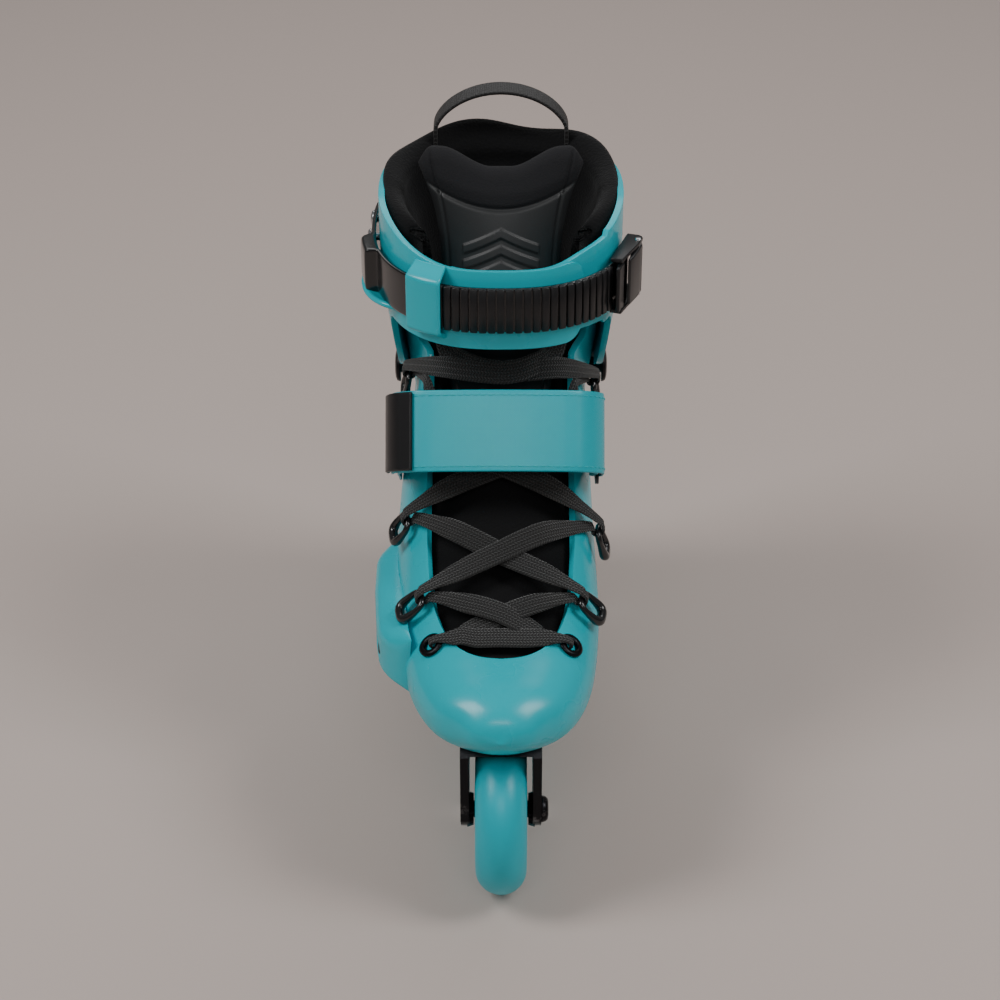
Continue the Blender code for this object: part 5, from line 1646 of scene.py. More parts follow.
@dataclass
class Tongue:
    """Padded tongue with two rounded wings, a curved seam and a raised device."""

    half_thick: float = 3.0
    seam_z: float = 279.0
    relief: float = 0.8

    def device(self, x: Array, z: Array) -> Array:
        """Raised device: the outlines of four nested chevrons.

        Args:
            x: Places across the tongue.
            z: Heights.

        Returns:
            Relief from nought to one.
        """
        fold = z + 0.5 * np.abs(x)
        bars = sum(ramp(np.abs(fold - 248.0 - 7.0 * k), 2.4, 1.7) for k in range(4))
        return bars * ramp(np.abs(x), 17.0, 16.0)

    def build(self) -> None:
        """Build the tongue as a padded sheet; its half thickness rounds off at the edges."""
        place = np.linspace(0, 8, 281)[:, None]
        share = np.linspace(1, -1, 181)[None]
        y, z, half, curl = np.moveaxis(spline(TONGUE_ROWS, place), -1, 0)
        reach = np.abs(share)
        late = np.maximum(0.0, (place - 6.6) / 1.4) ** 1.3
        wing = late * (8.0 * ramp(reach, 0.12, 0.72) - 12.0 * ramp(reach, 0.78, 1.1) ** 1.6)
        grid = np.stack(np.broadcast_arrays(
            share * half, y + curl * reach ** 2 + wing * 0.4 + 3.0, z + wing), -1)
        x, height = grid[..., 0], grid[..., 2]
        to_side = (1 - reach) * half
        to_top = run_lengths(grid[::-1], 0)[::-1]
        rounding = edge_rise(to_side, 7.0) * edge_rise(to_top, 7.0)
        rounding = rounding * edge_rise(run_lengths(grid, 0), 6.0)
        band = height - self.seam_z - 0.008 * x ** 2
        seam = 1.3 * np.exp(-(band / 0.9) ** 2)
        border = 0.9 * np.exp(-((to_side - 5.0) / 0.8) ** 2)
        raised = self.relief * self.device(x, height) * (band < -3.0)
        puff = 1.3 * ramp(band, 0.0, 7.0)
        thickness = (self.half_thick + raised + puff - seam - border) * rounding
        tongue = put_pillow("tongue_look", grid, thickness, np.stack([x, band], -1),
                            self.half_thick * rounding)
        bend(tongue, TONGUE_CLOTH, "black_fabric", "tongue")


@dataclass
class FootBed:
    """Insole in the liner and the shock pad under its heel."""

    insole: float = 3.0
    heel_pad: float = 2.6

    def build(self) -> None:
        """Build both as flat padded sheets on their CAD places."""
        self.pad("insole", (-132, -124, -112, -85, -40, 20, 60, 80, 88),
                 (10, 18, 23, 26, 23, 19, 18, 15, 9), self.insole_base, self.insole)
        self.pad("shock_absorber", (48, 56, 82, 92), (10, 16, 15, 9),
                 lambda y: 99.2 + np.maximum(0.0, (y - 70) * 0.08), self.heel_pad)

    def insole_base(self, y: Array) -> Array:
        """Height of the insole's lower face above the liner's floor."""
        sole = np.interp(y, (-124, -28, 5, 42, 80, 106), (86, 86, 88, 93.8, 94, 97.5))
        return sole + 4.6 + 4.0 + 2.0 + 6.4 * np.clip((y + 42) / 75, 0, 1)

    def pad(self, name: str, ys: Floats, halves: Floats,
            base: Callable[[Array], Array], thick: float) -> None:
        """Build one pad from its half widths along the foot.

        Args:
            name: Name of the CAD node.
            ys: Places along the foot.
            halves: Half widths there.
            base: Height of the lower face at a place.
            thick: Thickness.
        """
        y = np.linspace(ys[0], ys[-1], 90)[:, None]
        share = np.linspace(-1, 1, 31)[None]
        half = np.interp(y, ys, halves)
        grid = np.stack(np.broadcast_arrays(share * half, y, base(y) + thick / 2), -1)
        edge = np.minimum((1 - np.abs(share)) * half, np.minimum(y - ys[0], ys[-1] - y))
        piece = put_pillow(f"{name}_look", grid, thick / 2 * edge_rise(edge, 1.2))
        hold(piece, "boot", FOAM_CLOTH, "grey_foam", name)


# ---- lace and its hardware

@dataclass(frozen=True)
class LoopSpec:
    """A lace loop's station, x and the turn of its long way towards the ankle."""

    station: float
    x: float
    turn: float


LOOPS = {"lower": LoopSpec(6.40, 38.5, 14.0), "upper": LoopSpec(8.20, 43.5, 14.0),
         "top": LoopSpec(11.75, 41.0, 8.0)}
LOOP_LONG, LOOP_SHORT, LOOP_BAR = 7.0, 5.2, 1.4
SIDES = ((-1, "outer"), (1, "inner"))
EYELET_STATION, EYELET_X = 5.3, 31.5


def loop_frame(level: str, side: int) -> tuple[Array, Array, Array, Array]:
    """Centre, inward direction, direction along the boot and normal of a loop.

    Args:
        level: Name of the loop's level.
        side: -1 for the outer side, 1 for the inner.

    Returns:
        The centre and the three directions.
    """
    spec = LOOPS[level]
    place, normal = FORM.dorsal(spec.station, side * spec.x, 0.0)
    across = np.array((-float(side), 0.0, 0.0))
    across = unit(across - normal * across.dot(normal))
    along = np.cross(across, normal) * side
    angle = math.radians(spec.turn)
    inward = across * math.cos(angle) + along * math.sin(angle)
    crosswise = along * math.cos(angle) - across * math.sin(angle)
    return place + normal * 5.0, inward, crosswise, normal


@dataclass
class LaceHardware:
    """Six moulded loops beside the throat and two metal eyelets."""

    bar_steps: int = 14
    loop_steps: int = 64

    def build(self) -> None:
        """Build the loops and the eyelets."""
        for side, word in SIDES:
            for level in LOOPS:
                self.loop(level, side, word)
            place, normal = FORM.dorsal(EYELET_STATION, side * EYELET_X, 0.0)
            profile = [(2.9, -3.7), (3.9, -3.7), (3.9, 1.0), (6.2, 0.9), (6.1, 1.5),
                       (5.2, 2.1), (4.0, 2.2), (3.2, 1.9), (2.9, 1.3)]
            ring = put_lathe(f"eyelet_{word}_look", profile, place, normal, 48, ring=True)
            hold(ring, "boot", BLACK_METAL, "black_aluminium", f"eyelet_{word}")

    def loop(self, level: str, side: int, word: str) -> None:
        """Build one loop: a round bar carried round a superellipse.

        Args:
            level: Name of the loop's level.
            side: -1 for the outer side, 1 for the inner.
            word: Name of the side.
        """
        centre, inward, crosswise, normal = loop_frame(level, side)
        turn = np.linspace(0, 2 * np.pi, self.loop_steps, endpoint=False)
        way = (signed(np.cos(turn), 0.6)[:, None] * inward * LOOP_LONG
               + signed(np.sin(turn), 0.6)[:, None] * crosswise * LOOP_SHORT)
        out = unit(way)
        angle = np.linspace(0, 2 * np.pi, self.bar_steps, endpoint=False)
        bar = (out[:, None] * np.cos(angle)[None, :, None]
               + normal[None, None] * np.sin(angle)[None, :, None])
        outer_end = ramp(-way @ inward, -0.4 * LOOP_LONG, 0.8 * LOOP_LONG)
        size = LOOP_BAR + 0.15 + 0.75 * outer_end
        grid = centre + way[:, None] + bar * size[:, None, None]
        ring = put_tube(f"lace_loop_{level}_{word}_look", grid, ring=True)
        hold(ring, "boot", GLOSS_BLACK, "black_plastic", f"lace_loop_{level}_{word}")


# The lace's route on one side: station, x, lift above the form and half width, or the name
# of the loop that it turns round. On the other side x is turned over.
LACE_HALF = (
    (5.30, 0.0, -2.2, 4.3), (5.30, 12.0, -1.5, 4.3), (5.30, 22.0, 1.6, 3.6),
    (5.30, 27.6, 3.6, 2.2), (5.30, 31.0, 3.1, 2.0), (5.30, 31.6, 0.4, 2.0),
    (5.30, 31.4, -3.0, 2.0), (5.34, 28.6, -5.2, 2.2), (5.40, 23.5, -5.0, 3.0),
    (5.56, 16.0, -3.0, 4.2), (5.86, 0.0, 0.6, 4.3), (6.14, -16.0, 1.4, 4.0),
    "lower",
    (6.78, -20.0, 3.8, 4.0), (7.15, 0.0, 3.0, 4.3), (7.62, 20.0, 2.2, 4.2),
    "upper",
    (8.44, 24.0, 4.2, 4.0), (8.74, 0.0, 3.6, 4.3), (9.10, -20.0, 2.8, 4.2),
    (9.70, -28.0, 2.2, 4.0), (10.6, -31.0, 3.2, 3.4), (11.2, -33.0, 3.6, 2.6),
    "top",
    (11.25, -24.0, 4.4, 4.2), (10.85, 0.0, 4.0, 4.6), (11.15, 14.0, 3.4, 4.6),
    (12.0, 24.0, 2.4, 4.4), (15.0, 27.0, 0.4, 4.0),
)


@dataclass
class Lace:
    """Flat woven lace, one piece from end to end, held by eyelets and loops."""

    nodes: dict[str, Item]
    thick: float = 1.2
    clear: float = 1.5

    def loop_turn(self, level: str, side: int) -> list[tuple[float, ...]]:
        """Stops round a loop's inner bar: under it, up through the ring, back over it.

        Args:
            level: Name of the loop's level.
            side: -1 for the outer side, 1 for the inner.

        Returns:
            Place, half width and bar direction of each stop.
        """
        centre, inward, crosswise, normal = loop_frame(level, side)
        bar = centre + inward * LOOP_LONG
        rise = LOOP_BAR + self.thick / 2 + 0.7
        offsets = ((3.6, -1.0, 0.3 - rise, 2.8), (-0.3, -0.4, -rise, 2.2),
                   (-rise - 0.2, 0.0, 0.0, 2.0), (-0.3, 0.4, rise, 2.2),
                   (3.6, 1.0, rise - 0.3, 2.8))
        return [(*(bar + inward * a + crosswise * b + normal * c), half, *crosswise)
                for a, b, c, half in offsets]

    def stops(self, turn: int, drop: float) -> list[tuple[float, ...]]:
        """Stops of one half of the lace: place, half width and the loop's bar direction.

        Args:
            turn: -1 or 1, the half of the lace.
            drop: How far this half lies below the other at the crossings.

        Returns:
            Place, half width and bar direction of each stop.
        """
        found: list[tuple[float, ...]] = []
        side = -turn
        for stop in LACE_HALF:
            if isinstance(stop, str):
                found += self.loop_turn(stop, side)
                continue
            u, x, lift, half = stop
            side = side if abs(x) < 12.0 else int(math.copysign(1.0, x * turn))
            near_middle = max(0.0, 1 - abs(x) / 17.0) if u > 5.5 else 0.0
            place, _ = FORM.dorsal(u, x * turn, lift - drop * near_middle)
            found.append((*place, half, 0.0, 0.0, 0.0))
        return found

    def route(self) -> tuple[Array, Array, Array, Array]:
        """Points, width directions, normals and half widths along the whole lace.

        Returns:
            The four arrays, one row for each sample.
        """
        stops = np.array(self.stops(-1, 2.6)[::-1] + self.stops(1, 0.0)[1:])
        dense = spline(stops, np.linspace(0, len(stops) - 1, 2 * len(stops) - 1))
        for k in range(1, len(dense), 2):
            first, second = stops[k // 2], stops[k // 2 + 1]
            if np.any(first[4:]) and np.any(second[4:]) and max(first[3], second[3]) > 2.5:
                dense[k] = (first + second) / 2
        points, halves = dense[:, :3], dense[:, 3]
        tangents = unit(np.gradient(points, axis=0))
        widths = []
        before = np.array((0.0, 1.0, 0.0))
        for point, tangent, bar in zip(points, tangents, dense[:, 4:]):
            pull = min(1.0, float(np.linalg.norm(bar)) * 1.2)
            across = np.cross(tangent, boot_normal(point))
            across *= math.copysign(1.0 - pull, across.dot(before))
            width = across + bar * math.copysign(pull, bar.dot(before)) + before * 0.1
            before = unit(width - tangent * tangent.dot(width))
            widths.append(before)
        widths = np.array(widths)
        return points, widths, np.cross(widths, tangents), halves

    def through_shell(self, point: Array) -> bool:
        """True near an eyelet, where the lace goes down through the shell.

        Args:
            point: A sample of the lace.

        Returns:
            True or false.
        """
        gaps = [np.linalg.norm(point - FORM.dorsal(EYELET_STATION, side * EYELET_X, 0.0)[0])
                for side, _ in SIDES]
        return min(gaps) < 11.0 and abs(point[0]) > 20.0

    def lay_clear(self, points: Array, widths: Array, halves: Array) -> Array:
        """Lift samples until neither edge dips into the shell, the liner or the tongue.

        Args:
            points: Samples along the lace.
            widths: Their width directions.
            halves: Their half widths.

        Returns:
            The lifted samples.
        """
        trees = [fine_tree(self.nodes[name]) for name in ("shell", "liner", "tongue")]
        for i, point in enumerate(points):
            for tree in trees:
                rise = 0.0
                for edge in (-1, 0, 1):
                    place = Vector((point + widths[i] * halves[i] * edge) * MM)
                    near, normal, _, _ = tree.find_nearest(place, 9.0 * MM)
                    if near is None or np.dot(normal, boot_normal(point)) < 0.25:
                        continue
                    rise = max(rise, self.clear - (place - near).dot(normal) / MM)
                if 0.0 < rise < 7.0 and not self.through_shell(point):
                    point += boot_normal(point) * rise
        return points

    def build(self) -> None:
        """Build the lace as a flat braid along its route."""
        points, widths, ups, halves = self.route()
        points = self.lay_clear(points, widths, halves)
        rows = np.concatenate([points, widths, ups, halves[:, None]], axis=1)
        fine = spline(rows, np.linspace(0, len(rows) - 1, 6 * len(rows)))
        width_way = unit(fine[:, 3:6])
        wide = fine[:, 9] + 1.0 * ramp(fine[:, 9], 3.2, 4.2)
        grid, flat = sweep_strip(fine[:, :3], width_way, unit(fine[:, 6:9]), wide,
                                 np.full(len(fine), self.thick / 2), 20, 0.6)
        lace = put_tube("lace_look", grid, flat)
        bend(lace, LACE_BRAID, "black_lace", "lace")


def boot_normal(point: Array) -> Array:
    """Rough outward direction of the boot's top above the foot at a point.

    Args:
        point: The point.

    Returns:
        The direction.
    """
    slope = np.interp(point[2], (120, 140, 165, 200, 240), (0.25, 0.55, 0.95, 1.25, 1.4))
    lean = float(np.clip(point[0] / 60.0, -0.8, 0.8))
    return unit(np.array((lean, -math.sin(slope), math.cos(slope))))


def fine_tree(item: Item) -> BVHTree:
    """Search tree of a CAD node's mesh."""
    places, triangles = read_triangles(item.data)
    return BVHTree.FromPolygons(places.tolist(), triangles.tolist())


# ---- instep strap

@dataclass
class InstepStrap:
    """Hook-and-loop strap over the instep, folded back on itself at its ring."""

    half: float = 19.0
    sheet: float = 1.6
    front: Array = field(default_factory=lambda: np.array((0.0, -35.5, 195.0)))
    back: Array = field(default_factory=lambda: np.array((0.0, 0.82, -0.57)))
    up: Array = field(default_factory=lambda: unit(np.array((0.0, 0.57, 0.82))))
    outer_x: float = -51.2
    inner_x: float = 48.2

    def place(self, x: float, back: float) -> Array:
        """Point of the middle line: x across the boot, back towards the heel."""
        return self.front + self.back * back + np.array((x, 0.0, 0.0))

    def curve(self, side_x: float, inset: float, length: float,
              spread: float = 0.0) -> list[Array]:
        """One side of a layer: flat over the instep, a round corner, then back.

        Args:
            side_x: Where the side lies.
            inset: How far the layer lies below the outer one.
            length: Length behind the corner.
            spread: Extra width at its rear end.

        Returns:
            Points from the middle to the rear end.
        """
        side = math.copysign(1.0, side_x)
        reach = abs(side_x) - inset
        radius = 17.0 - inset
        bow = 1.6
        flat = [self.place(side * x, inset + bow * (x / reach) ** 2)
                for x in ((reach - radius) * step / 4 for step in range(4))]
        sink = bow * ((reach - radius) / reach) ** 2
        corner = [self.place(side * (reach - radius + radius * math.sin(angle)),
                             inset + sink + radius * (1 - math.cos(angle)))
                  for angle in (math.radians(22.5 * step) for step in range(5))]
        rear = [self.place(side * (reach + spread * share), radius + inset + length * share)
                for share in (0.5, 1.0)]
        return flat + corner + rear

    def bowed(self, points: Array) -> Array:
        """Points moved forwards over the instep, by 4.5 mm in the middle: 1 - (x/46)^2.

        Args:
            points: The points.

        Returns:
            The moved points.
        """
        points = np.asarray(points, float)
        share = np.clip(1 - (points[:, :1] / 46.0) ** 2, 0.0, 1.0)
        return points - self.back * 4.5 * share

    def build(self) -> None:
        """Build the strap, its stitching, its tab and its bolts."""
        under = self.curve(self.outer_x, 2.8, 51.0, 0.9)[::-1]
        under += self.curve(self.inner_x, 2.8, 15.2, -2.6)[1:]
        over = self.curve(self.inner_x, 0.0, 18.0)[::-1]
        over += self.curve(self.outer_x, 0.0, 6.0)[1:-1]
        route = np.array(under + [self.place(self.inner_x - 2.3, 37.6)] + over)
        fine = self.bowed(spline(route, np.linspace(0, len(route) - 1, 12 * len(route))))
        widths, normals = side_frames(fine, self.up)
        count = len(fine)
        grid, flat = sweep_strip(fine, widths, normals, np.full(count, self.half),
                                 np.full(count, self.sheet / 2), 28, 0.3)
        strap = put_tube("instep_strap_look", grid, flat)
        hold(strap, "boot", STRAP_TEAL, "teal_strap", "instep_strap")
        self.stitching(over)
        self.tab()
        self.bolts()

    def stitching(self, over: list[Array]) -> None:
        """Two rows of stitches near each edge of the outer layer.

        Args:
            over: Points of the outer layer.
        """
        line_points = self.bowed(spline(np.array(over), np.linspace(0, len(over) - 1, 600)))
        widths, outward = side_frames(line_points, self.up)
        outward = outward * np.sign((outward * (line_points - (0, 30.0, 150.0))).sum(-1,
                                    keepdims=True))
        rows = [line_points + widths * edge + outward * (self.sheet / 2 + 0.05)
                for edge in (-16.6, 16.6)]
        stitches = put_stitches("strap_stitches", rows, outward, 2.6, 0.9, 0.34)
        hold(stitches, "boot", THREAD_TEAL, "teal_strap")

    def tab(self) -> None:
        """Moulded grip on the free end, with raised bars."""
        curve = np.array(self.curve(self.outer_x, -2.4, 7.0)[5:])
        fine = self.bowed(spline(curve, np.linspace(0, len(curve) - 1, 90)))
        widths, normals = side_frames(fine, self.up)
        across = np.linspace(-1, 1, 71)
        grid = fine[:, None] + widths[:, None] * (across * (self.half - 0.6))[None, :, None]
        run = run_lengths(fine[:, None], 0)
        edge = np.minimum(np.minimum(run, run[-1:] - run), (1 - np.abs(across)) * self.half)
        slot_line = np.abs(across)[None] * self.half
        bars = sum(ramp(np.abs(run - (7.0 + 3.4 * k)), 1.1, 0.5) for k in range(5))
        bars = bars * ramp(slot_line, 12.5, 11.5)
        half = (1.0 + 0.55 * bars + 0.4 * ramp(edge, 3.4, 2.2)) * edge_rise(edge, 1.4)
        tab = put_pillow("strap_tab_look", grid, half, None, np.ones_like(half))
        hold(tab, "boot", BLACK_PLASTIC, "black_plastic", "strap_tab")

    def bolts(self) -> None:
        """Bolt of the fixed end and bolt of the ring."""
        for name, side, y, z, tip, seat in (
                ("strap_anchor_bolt", -1, 21.0, 156.0, 42.8, 50.7),
                ("ring_bolt", 1, 11.5, 161.2, 39.8, 47.2)):
            profile = [(0.0, tip), (3.0, tip), (3.0, seat), (6.1, seat), (6.2, seat + 0.5),
                       (5.6, seat + 1.5), (3.9, seat + 2.2)]
            put_fastener(name, "boot", (0, y, z), (side, 0, 0), profile, 2.2, 1.3,
                         BRIGHT_METAL, "steel")


def put_stitches(name: str, rows: list[Array], outward: Array, length: float, gap: float,
                 radius: float) -> Item:
    """Lay short stitches along rows of points.

    Args:
        name: Name of the piece.
        rows: Dense points of each row.
        outward: Face normals along the rows.
        length: Length of a stitch.
        gap: Gap between stitches.
        radius: Half thickness of the thread.

    Returns:
        One object with every stitch, each a closed seed of twenty corners.
    """
    pieces = []
    angle = np.linspace(0, 2 * np.pi, 5, endpoint=False)
    for row in rows:
        run = run_lengths(row[:, None], 0)[:, 0]
        starts = np.arange(1.0, run[-1] - length, length + gap)
        marks = starts[:, None] + length * np.array((0.0, 0.25, 0.75, 1.0))
        centre = np.stack([np.interp(marks, run, row[:, k]) for k in range(3)], -1)
        up = unit(np.stack([np.interp(marks, run, outward[:, k]) for k in range(3)], -1))
        side = unit(np.cross(unit(centre[:, -1:] - centre[:, :1]), up))
        size = radius * np.array((0.35, 1.0, 1.0, 0.35))[None, :, None, None]
        rings = centre[:, :, None] + size * (
            side[:, :, None] * np.cos(angle)[:, None] + up[:, :, None] * np.sin(angle)[:, None])
        verts = rings.reshape(-1, 3)
        body = tube_faces(4, 5)
        faces = [[corner + 20 * k for corner in face]
                 for k in range(len(starts)) for face in body]
        pieces.append((verts, faces))
    return join_meshes(name, pieces)


# ---- cuff

CUFF_LEVELS = np.array([
    (155.0, 49.5, 127.0, -24.0, 3.0), (175.0, 49.5, 125.5, -24.0, 2.9),
    (195.0, 50.5, 121.0, -24.5, 2.8), (215.0, 53.0, 116.0, -25.5, 2.6),
    (235.0, 56.0, 112.0, -26.0, 2.5), (255.0, 57.6, 109.0, -25.0, 2.4),
    (275.0, 58.0, 107.0, -21.5, 2.4), (295.0, 58.0, 105.0, -17.0, 2.4)])
STRAP_Z = 254.5
LADDER_LIFT, LADDER_THICK, LADDER_WIDTH = 2.9, 2.4, 22.0


def cuff_outer(phi: Array | float, z: Array | float, lift: Array | float) -> Array:
    """Points of the cuff's outer face: a superellipse at each height.

    Args:
        phi: Degrees from the front towards the inner side.
        z: Height.
        lift: Distance outside the face.

    Returns:
        Points, with one more axis of three.
    """
    phi, z, lift = np.broadcast_arrays(np.asarray(phi, float), z, lift)
    _, half, back, front, n = np.moveaxis(spline(CUFF_LEVELS, (z - 155.0) / 20.0), -1, 0)
    centre, depth = (back + front) / 2, (back - front) / 2
    angle = np.radians(phi)
    x = signed(np.sin(angle), 2 / n) * (half + lift)
    y = centre - signed(np.cos(angle), 2 / n) * (depth + lift)
    return np.stack([x, y, z], axis=-1)


@dataclass
class Cuff:
    """Hinged cuff: one moulded ribbon whose front flaps overlap."""

    wall: float = 3.0
    start: float = -22.0
    end: float = 397.0

    def edges(self, phi: Array) -> tuple[Array, Array]:
        """Lower and upper edge heights: arms reach down to the pivots.

        Args:
            phi: Degrees from the front.

        Returns:
            Lower and upper heights.
        """
        turn = np.abs((phi + 180) % 360 - 180)
        t = np.minimum(1.0, np.abs(turn - 109) / 46)
        arm = (1 - t * t) ** 2
        back = line(turn, 106.0, 140.0)
        return 233.0 - 71.0 * arm - 60.0 * back * (1 - arm), 271.0 + 12.0 * ramp(turn, 15, 85)

    def build(self) -> None:
        """Build the ribbon with round corners on its outer flap, the keeper and bolts."""
        phi = np.linspace(self.start, self.end, 421)[None]
        share = np.linspace(0, 1, 45)[:, None]
        low, high = self.edges(phi)
        slide = -4.2 * ramp(-phi, -62.0, -36.0)
        under = slide < -0.5
        low, high = low + 2.0 * under, high - 2.0 * under
        to_end = (self.end - phi) * math.pi / 180 * 50
        corner = 9.0 * (1 - edge_rise(to_end, 9.0))
        z = low + corner + (high - low - 2 * corner) * share
        grid = cuff_outer(phi, z, np.broadcast_to(slide, z.shape))
        cuff = put_sheet("cuff_look", grid)
        outward_from(cuff, (0.0, 40.0, 230.0))
        add_wall(cuff, self.wall, 0.9)
        hold(cuff, "cuff", SHELL_TEAL, "teal_plastic", "cuff")
        self.keeper()
        self.bolts()

    def keeper(self) -> None:
        """Bridge flush with the cuff's front, which the ladder strap passes under."""
        phi = np.linspace(-39.0, -21.5, 60)[:, None]
        turn = np.linspace(-1.0, 1.0, 81)[None]
        z = STRAP_Z + 17.5 * turn + 0 * phi
        rise = 6.4 * ramp(np.abs(turn), 0.99, 0.7) + 0 * phi
        flat_at = cuff_outer(phi, STRAP_Z, rise)
        flat_at[..., 2] = z
        hug = cuff_outer(phi, z, rise)
        mixing = ramp(np.abs(turn), 1.0, 0.72)[..., None]
        grid = hug * (1 - mixing) + flat_at * mixing
        edge = np.minimum(phi + 39.0, -21.5 - phi) * 0.9
        half = (1.2 * edge_rise(edge, 1.4)) * np.ones_like(z)
        keeper = put_pillow("strap_keeper_look", grid, half)
        hold(keeper, "cuff", SHELL_TEAL, "teal_plastic")
        self.lip()

    def lip(self) -> None:
        """Flared lip of the outer lower edge, under the strap's block."""
        phi = np.linspace(-99.0, -54.0, 90)[:, None]
        share = np.linspace(0.0, 1.0, 25)[None]
        reach = 10.5 * np.sin(np.pi * (phi + 99.0) / 45.0) ** 0.6
        grid = cuff_outer(phi, 241.0 + 2.6 * share ** 2, -1.5 + (reach + 1.5) * share)
        edge = np.minimum((1 - share) * (reach + 1.5), np.minimum(phi + 99, -54 - phi))
        lip = put_pillow("cuff_lip_look", grid, 1.4 * edge_rise(edge, 1.4))
        hold(lip, "cuff", SHELL_TEAL, "teal_plastic")

    def bolts(self) -> None:
        """Pivot bolts that join the cuff to the shell at the ankle."""
        profile = [(0.0, 38.8), (4.0, 38.8), (4.0, 50.4), (8.4, 50.4), (8.6, 50.9),
                   (8.0, 52.2), (6.6, 52.9), (4.4, 53.2)]
        for side, word in SIDES:
            put_fastener(f"cuff_bolt_{word}", "boot", (0, 65.0, 175.0), (side, 0, 0),
                         profile, 3.2, 1.8, BLACK_METAL, "black_aluminium")


@dataclass
class LadderStrap:
    """Toothed strap round the front of the cuff, with its block and two screws."""

    pitch: float = 4.1

    def build(self) -> None:
        """Build the strap, its teeth and its screws."""
        phi = np.concatenate([np.linspace(-104, -86, 30), np.linspace(-85.5, -66.5, 60),
                              np.linspace(-66, 78, 200)])
        block = ramp(phi, -84.0, -81.0) * (1 - ramp(phi, -71.0, -68.0))
        thick = LADDER_THICK + 5.3 * block
        points = cuff_outer(phi, STRAP_Z, LADDER_LIFT + (thick - LADDER_THICK) / 2)
        flat_line = cuff_outer(phi, STRAP_Z, LADDER_LIFT)
        widths, normals = side_frames(flat_line, (0.0, 0.0, 1.0))
        grid, _ = sweep_strip(points, widths, normals, np.full(len(phi), LADDER_WIDTH / 2),
                              thick / 2, 32, 0.32)
        strap = put_tube("ladder_strap_look", grid)
        hold(strap, "cuff", GLOSS_BLACK, "black_plastic", "ladder_strap")
        self.teeth()
        self.screws()

    def teeth(self) -> None:
        """Lay broad ribs across the strap with narrow grooves between them."""
        line_phi = np.linspace(-25.0, 54.0, 800)
        lying = cuff_outer(line_phi, STRAP_Z, LADDER_LIFT + LADDER_THICK / 2)
        run = run_lengths(lying[:, None], 0)[:, 0]
        count = int(run[-1] / self.pitch)
        phi = np.interp(self.pitch * (np.arange(count) + 0.5), run, line_phi)
        base = cuff_outer(phi, STRAP_Z, LADDER_LIFT + LADDER_THICK / 2)
        ahead = cuff_outer(phi + 0.5, STRAP_Z, LADDER_LIFT + LADDER_THICK / 2)
        along = unit(ahead - base)
        normals = np.cross(along, (0.0, 0.0, 1.0))
        angle = np.linspace(0, 2 * np.pi, 16, endpoint=False)
        across = np.array((-11.2, -10.8, 0.0, 10.8, 11.2))
        size = np.array((0.6, 1.0, 1.0, 1.0, 0.6))
        x, y = signed(np.cos(angle), 0.35) * 1.72, signed(np.sin(angle), 0.35) * 1.15
        section = along[:, None, None] * x[:, None] + normals[:, None, None] * y[:, None]
        rings = (base[:, None, None] + section * size[None, :, None, None]
                 + across[None, :, None, None] * np.array((0.0, 0.0, 1.0)))
        body = tube_faces(5, 16)
        faces = [[corner + 80 * k for corner in face] for k in range(count) for face in body]
        ribs = put_mesh("ladder_teeth_look", rings.reshape(-1, 3), faces)
        merge_close(ribs, 0.001)
        hold(ribs, "cuff", BLACK_PLASTIC, "black_plastic")

    def screws(self) -> None:
        """Two bright screws that fix the strap's base to the cuff."""
        for index, phi in enumerate((-100.0, -88.0), start=1):
            here, ahead = (cuff_outer(spot, STRAP_Z + 5.0, LADDER_LIFT)
                           for spot in (phi, phi + 1.0))
            normal = np.cross(unit(ahead - here), (0.0, 0.0, 1.0))
            profile = [(0.0, -3.6), (1.8, -3.6), (1.8, 1.25), (3.9, 1.25), (3.95, 1.6),
                       (3.4, 2.4), (2.5, 2.8)]
            put_fastener(f"ladder_screw_{index}", "cuff", here, normal, profile, 1.6, 0.9,
                         BRIGHT_METAL, "steel", 4)


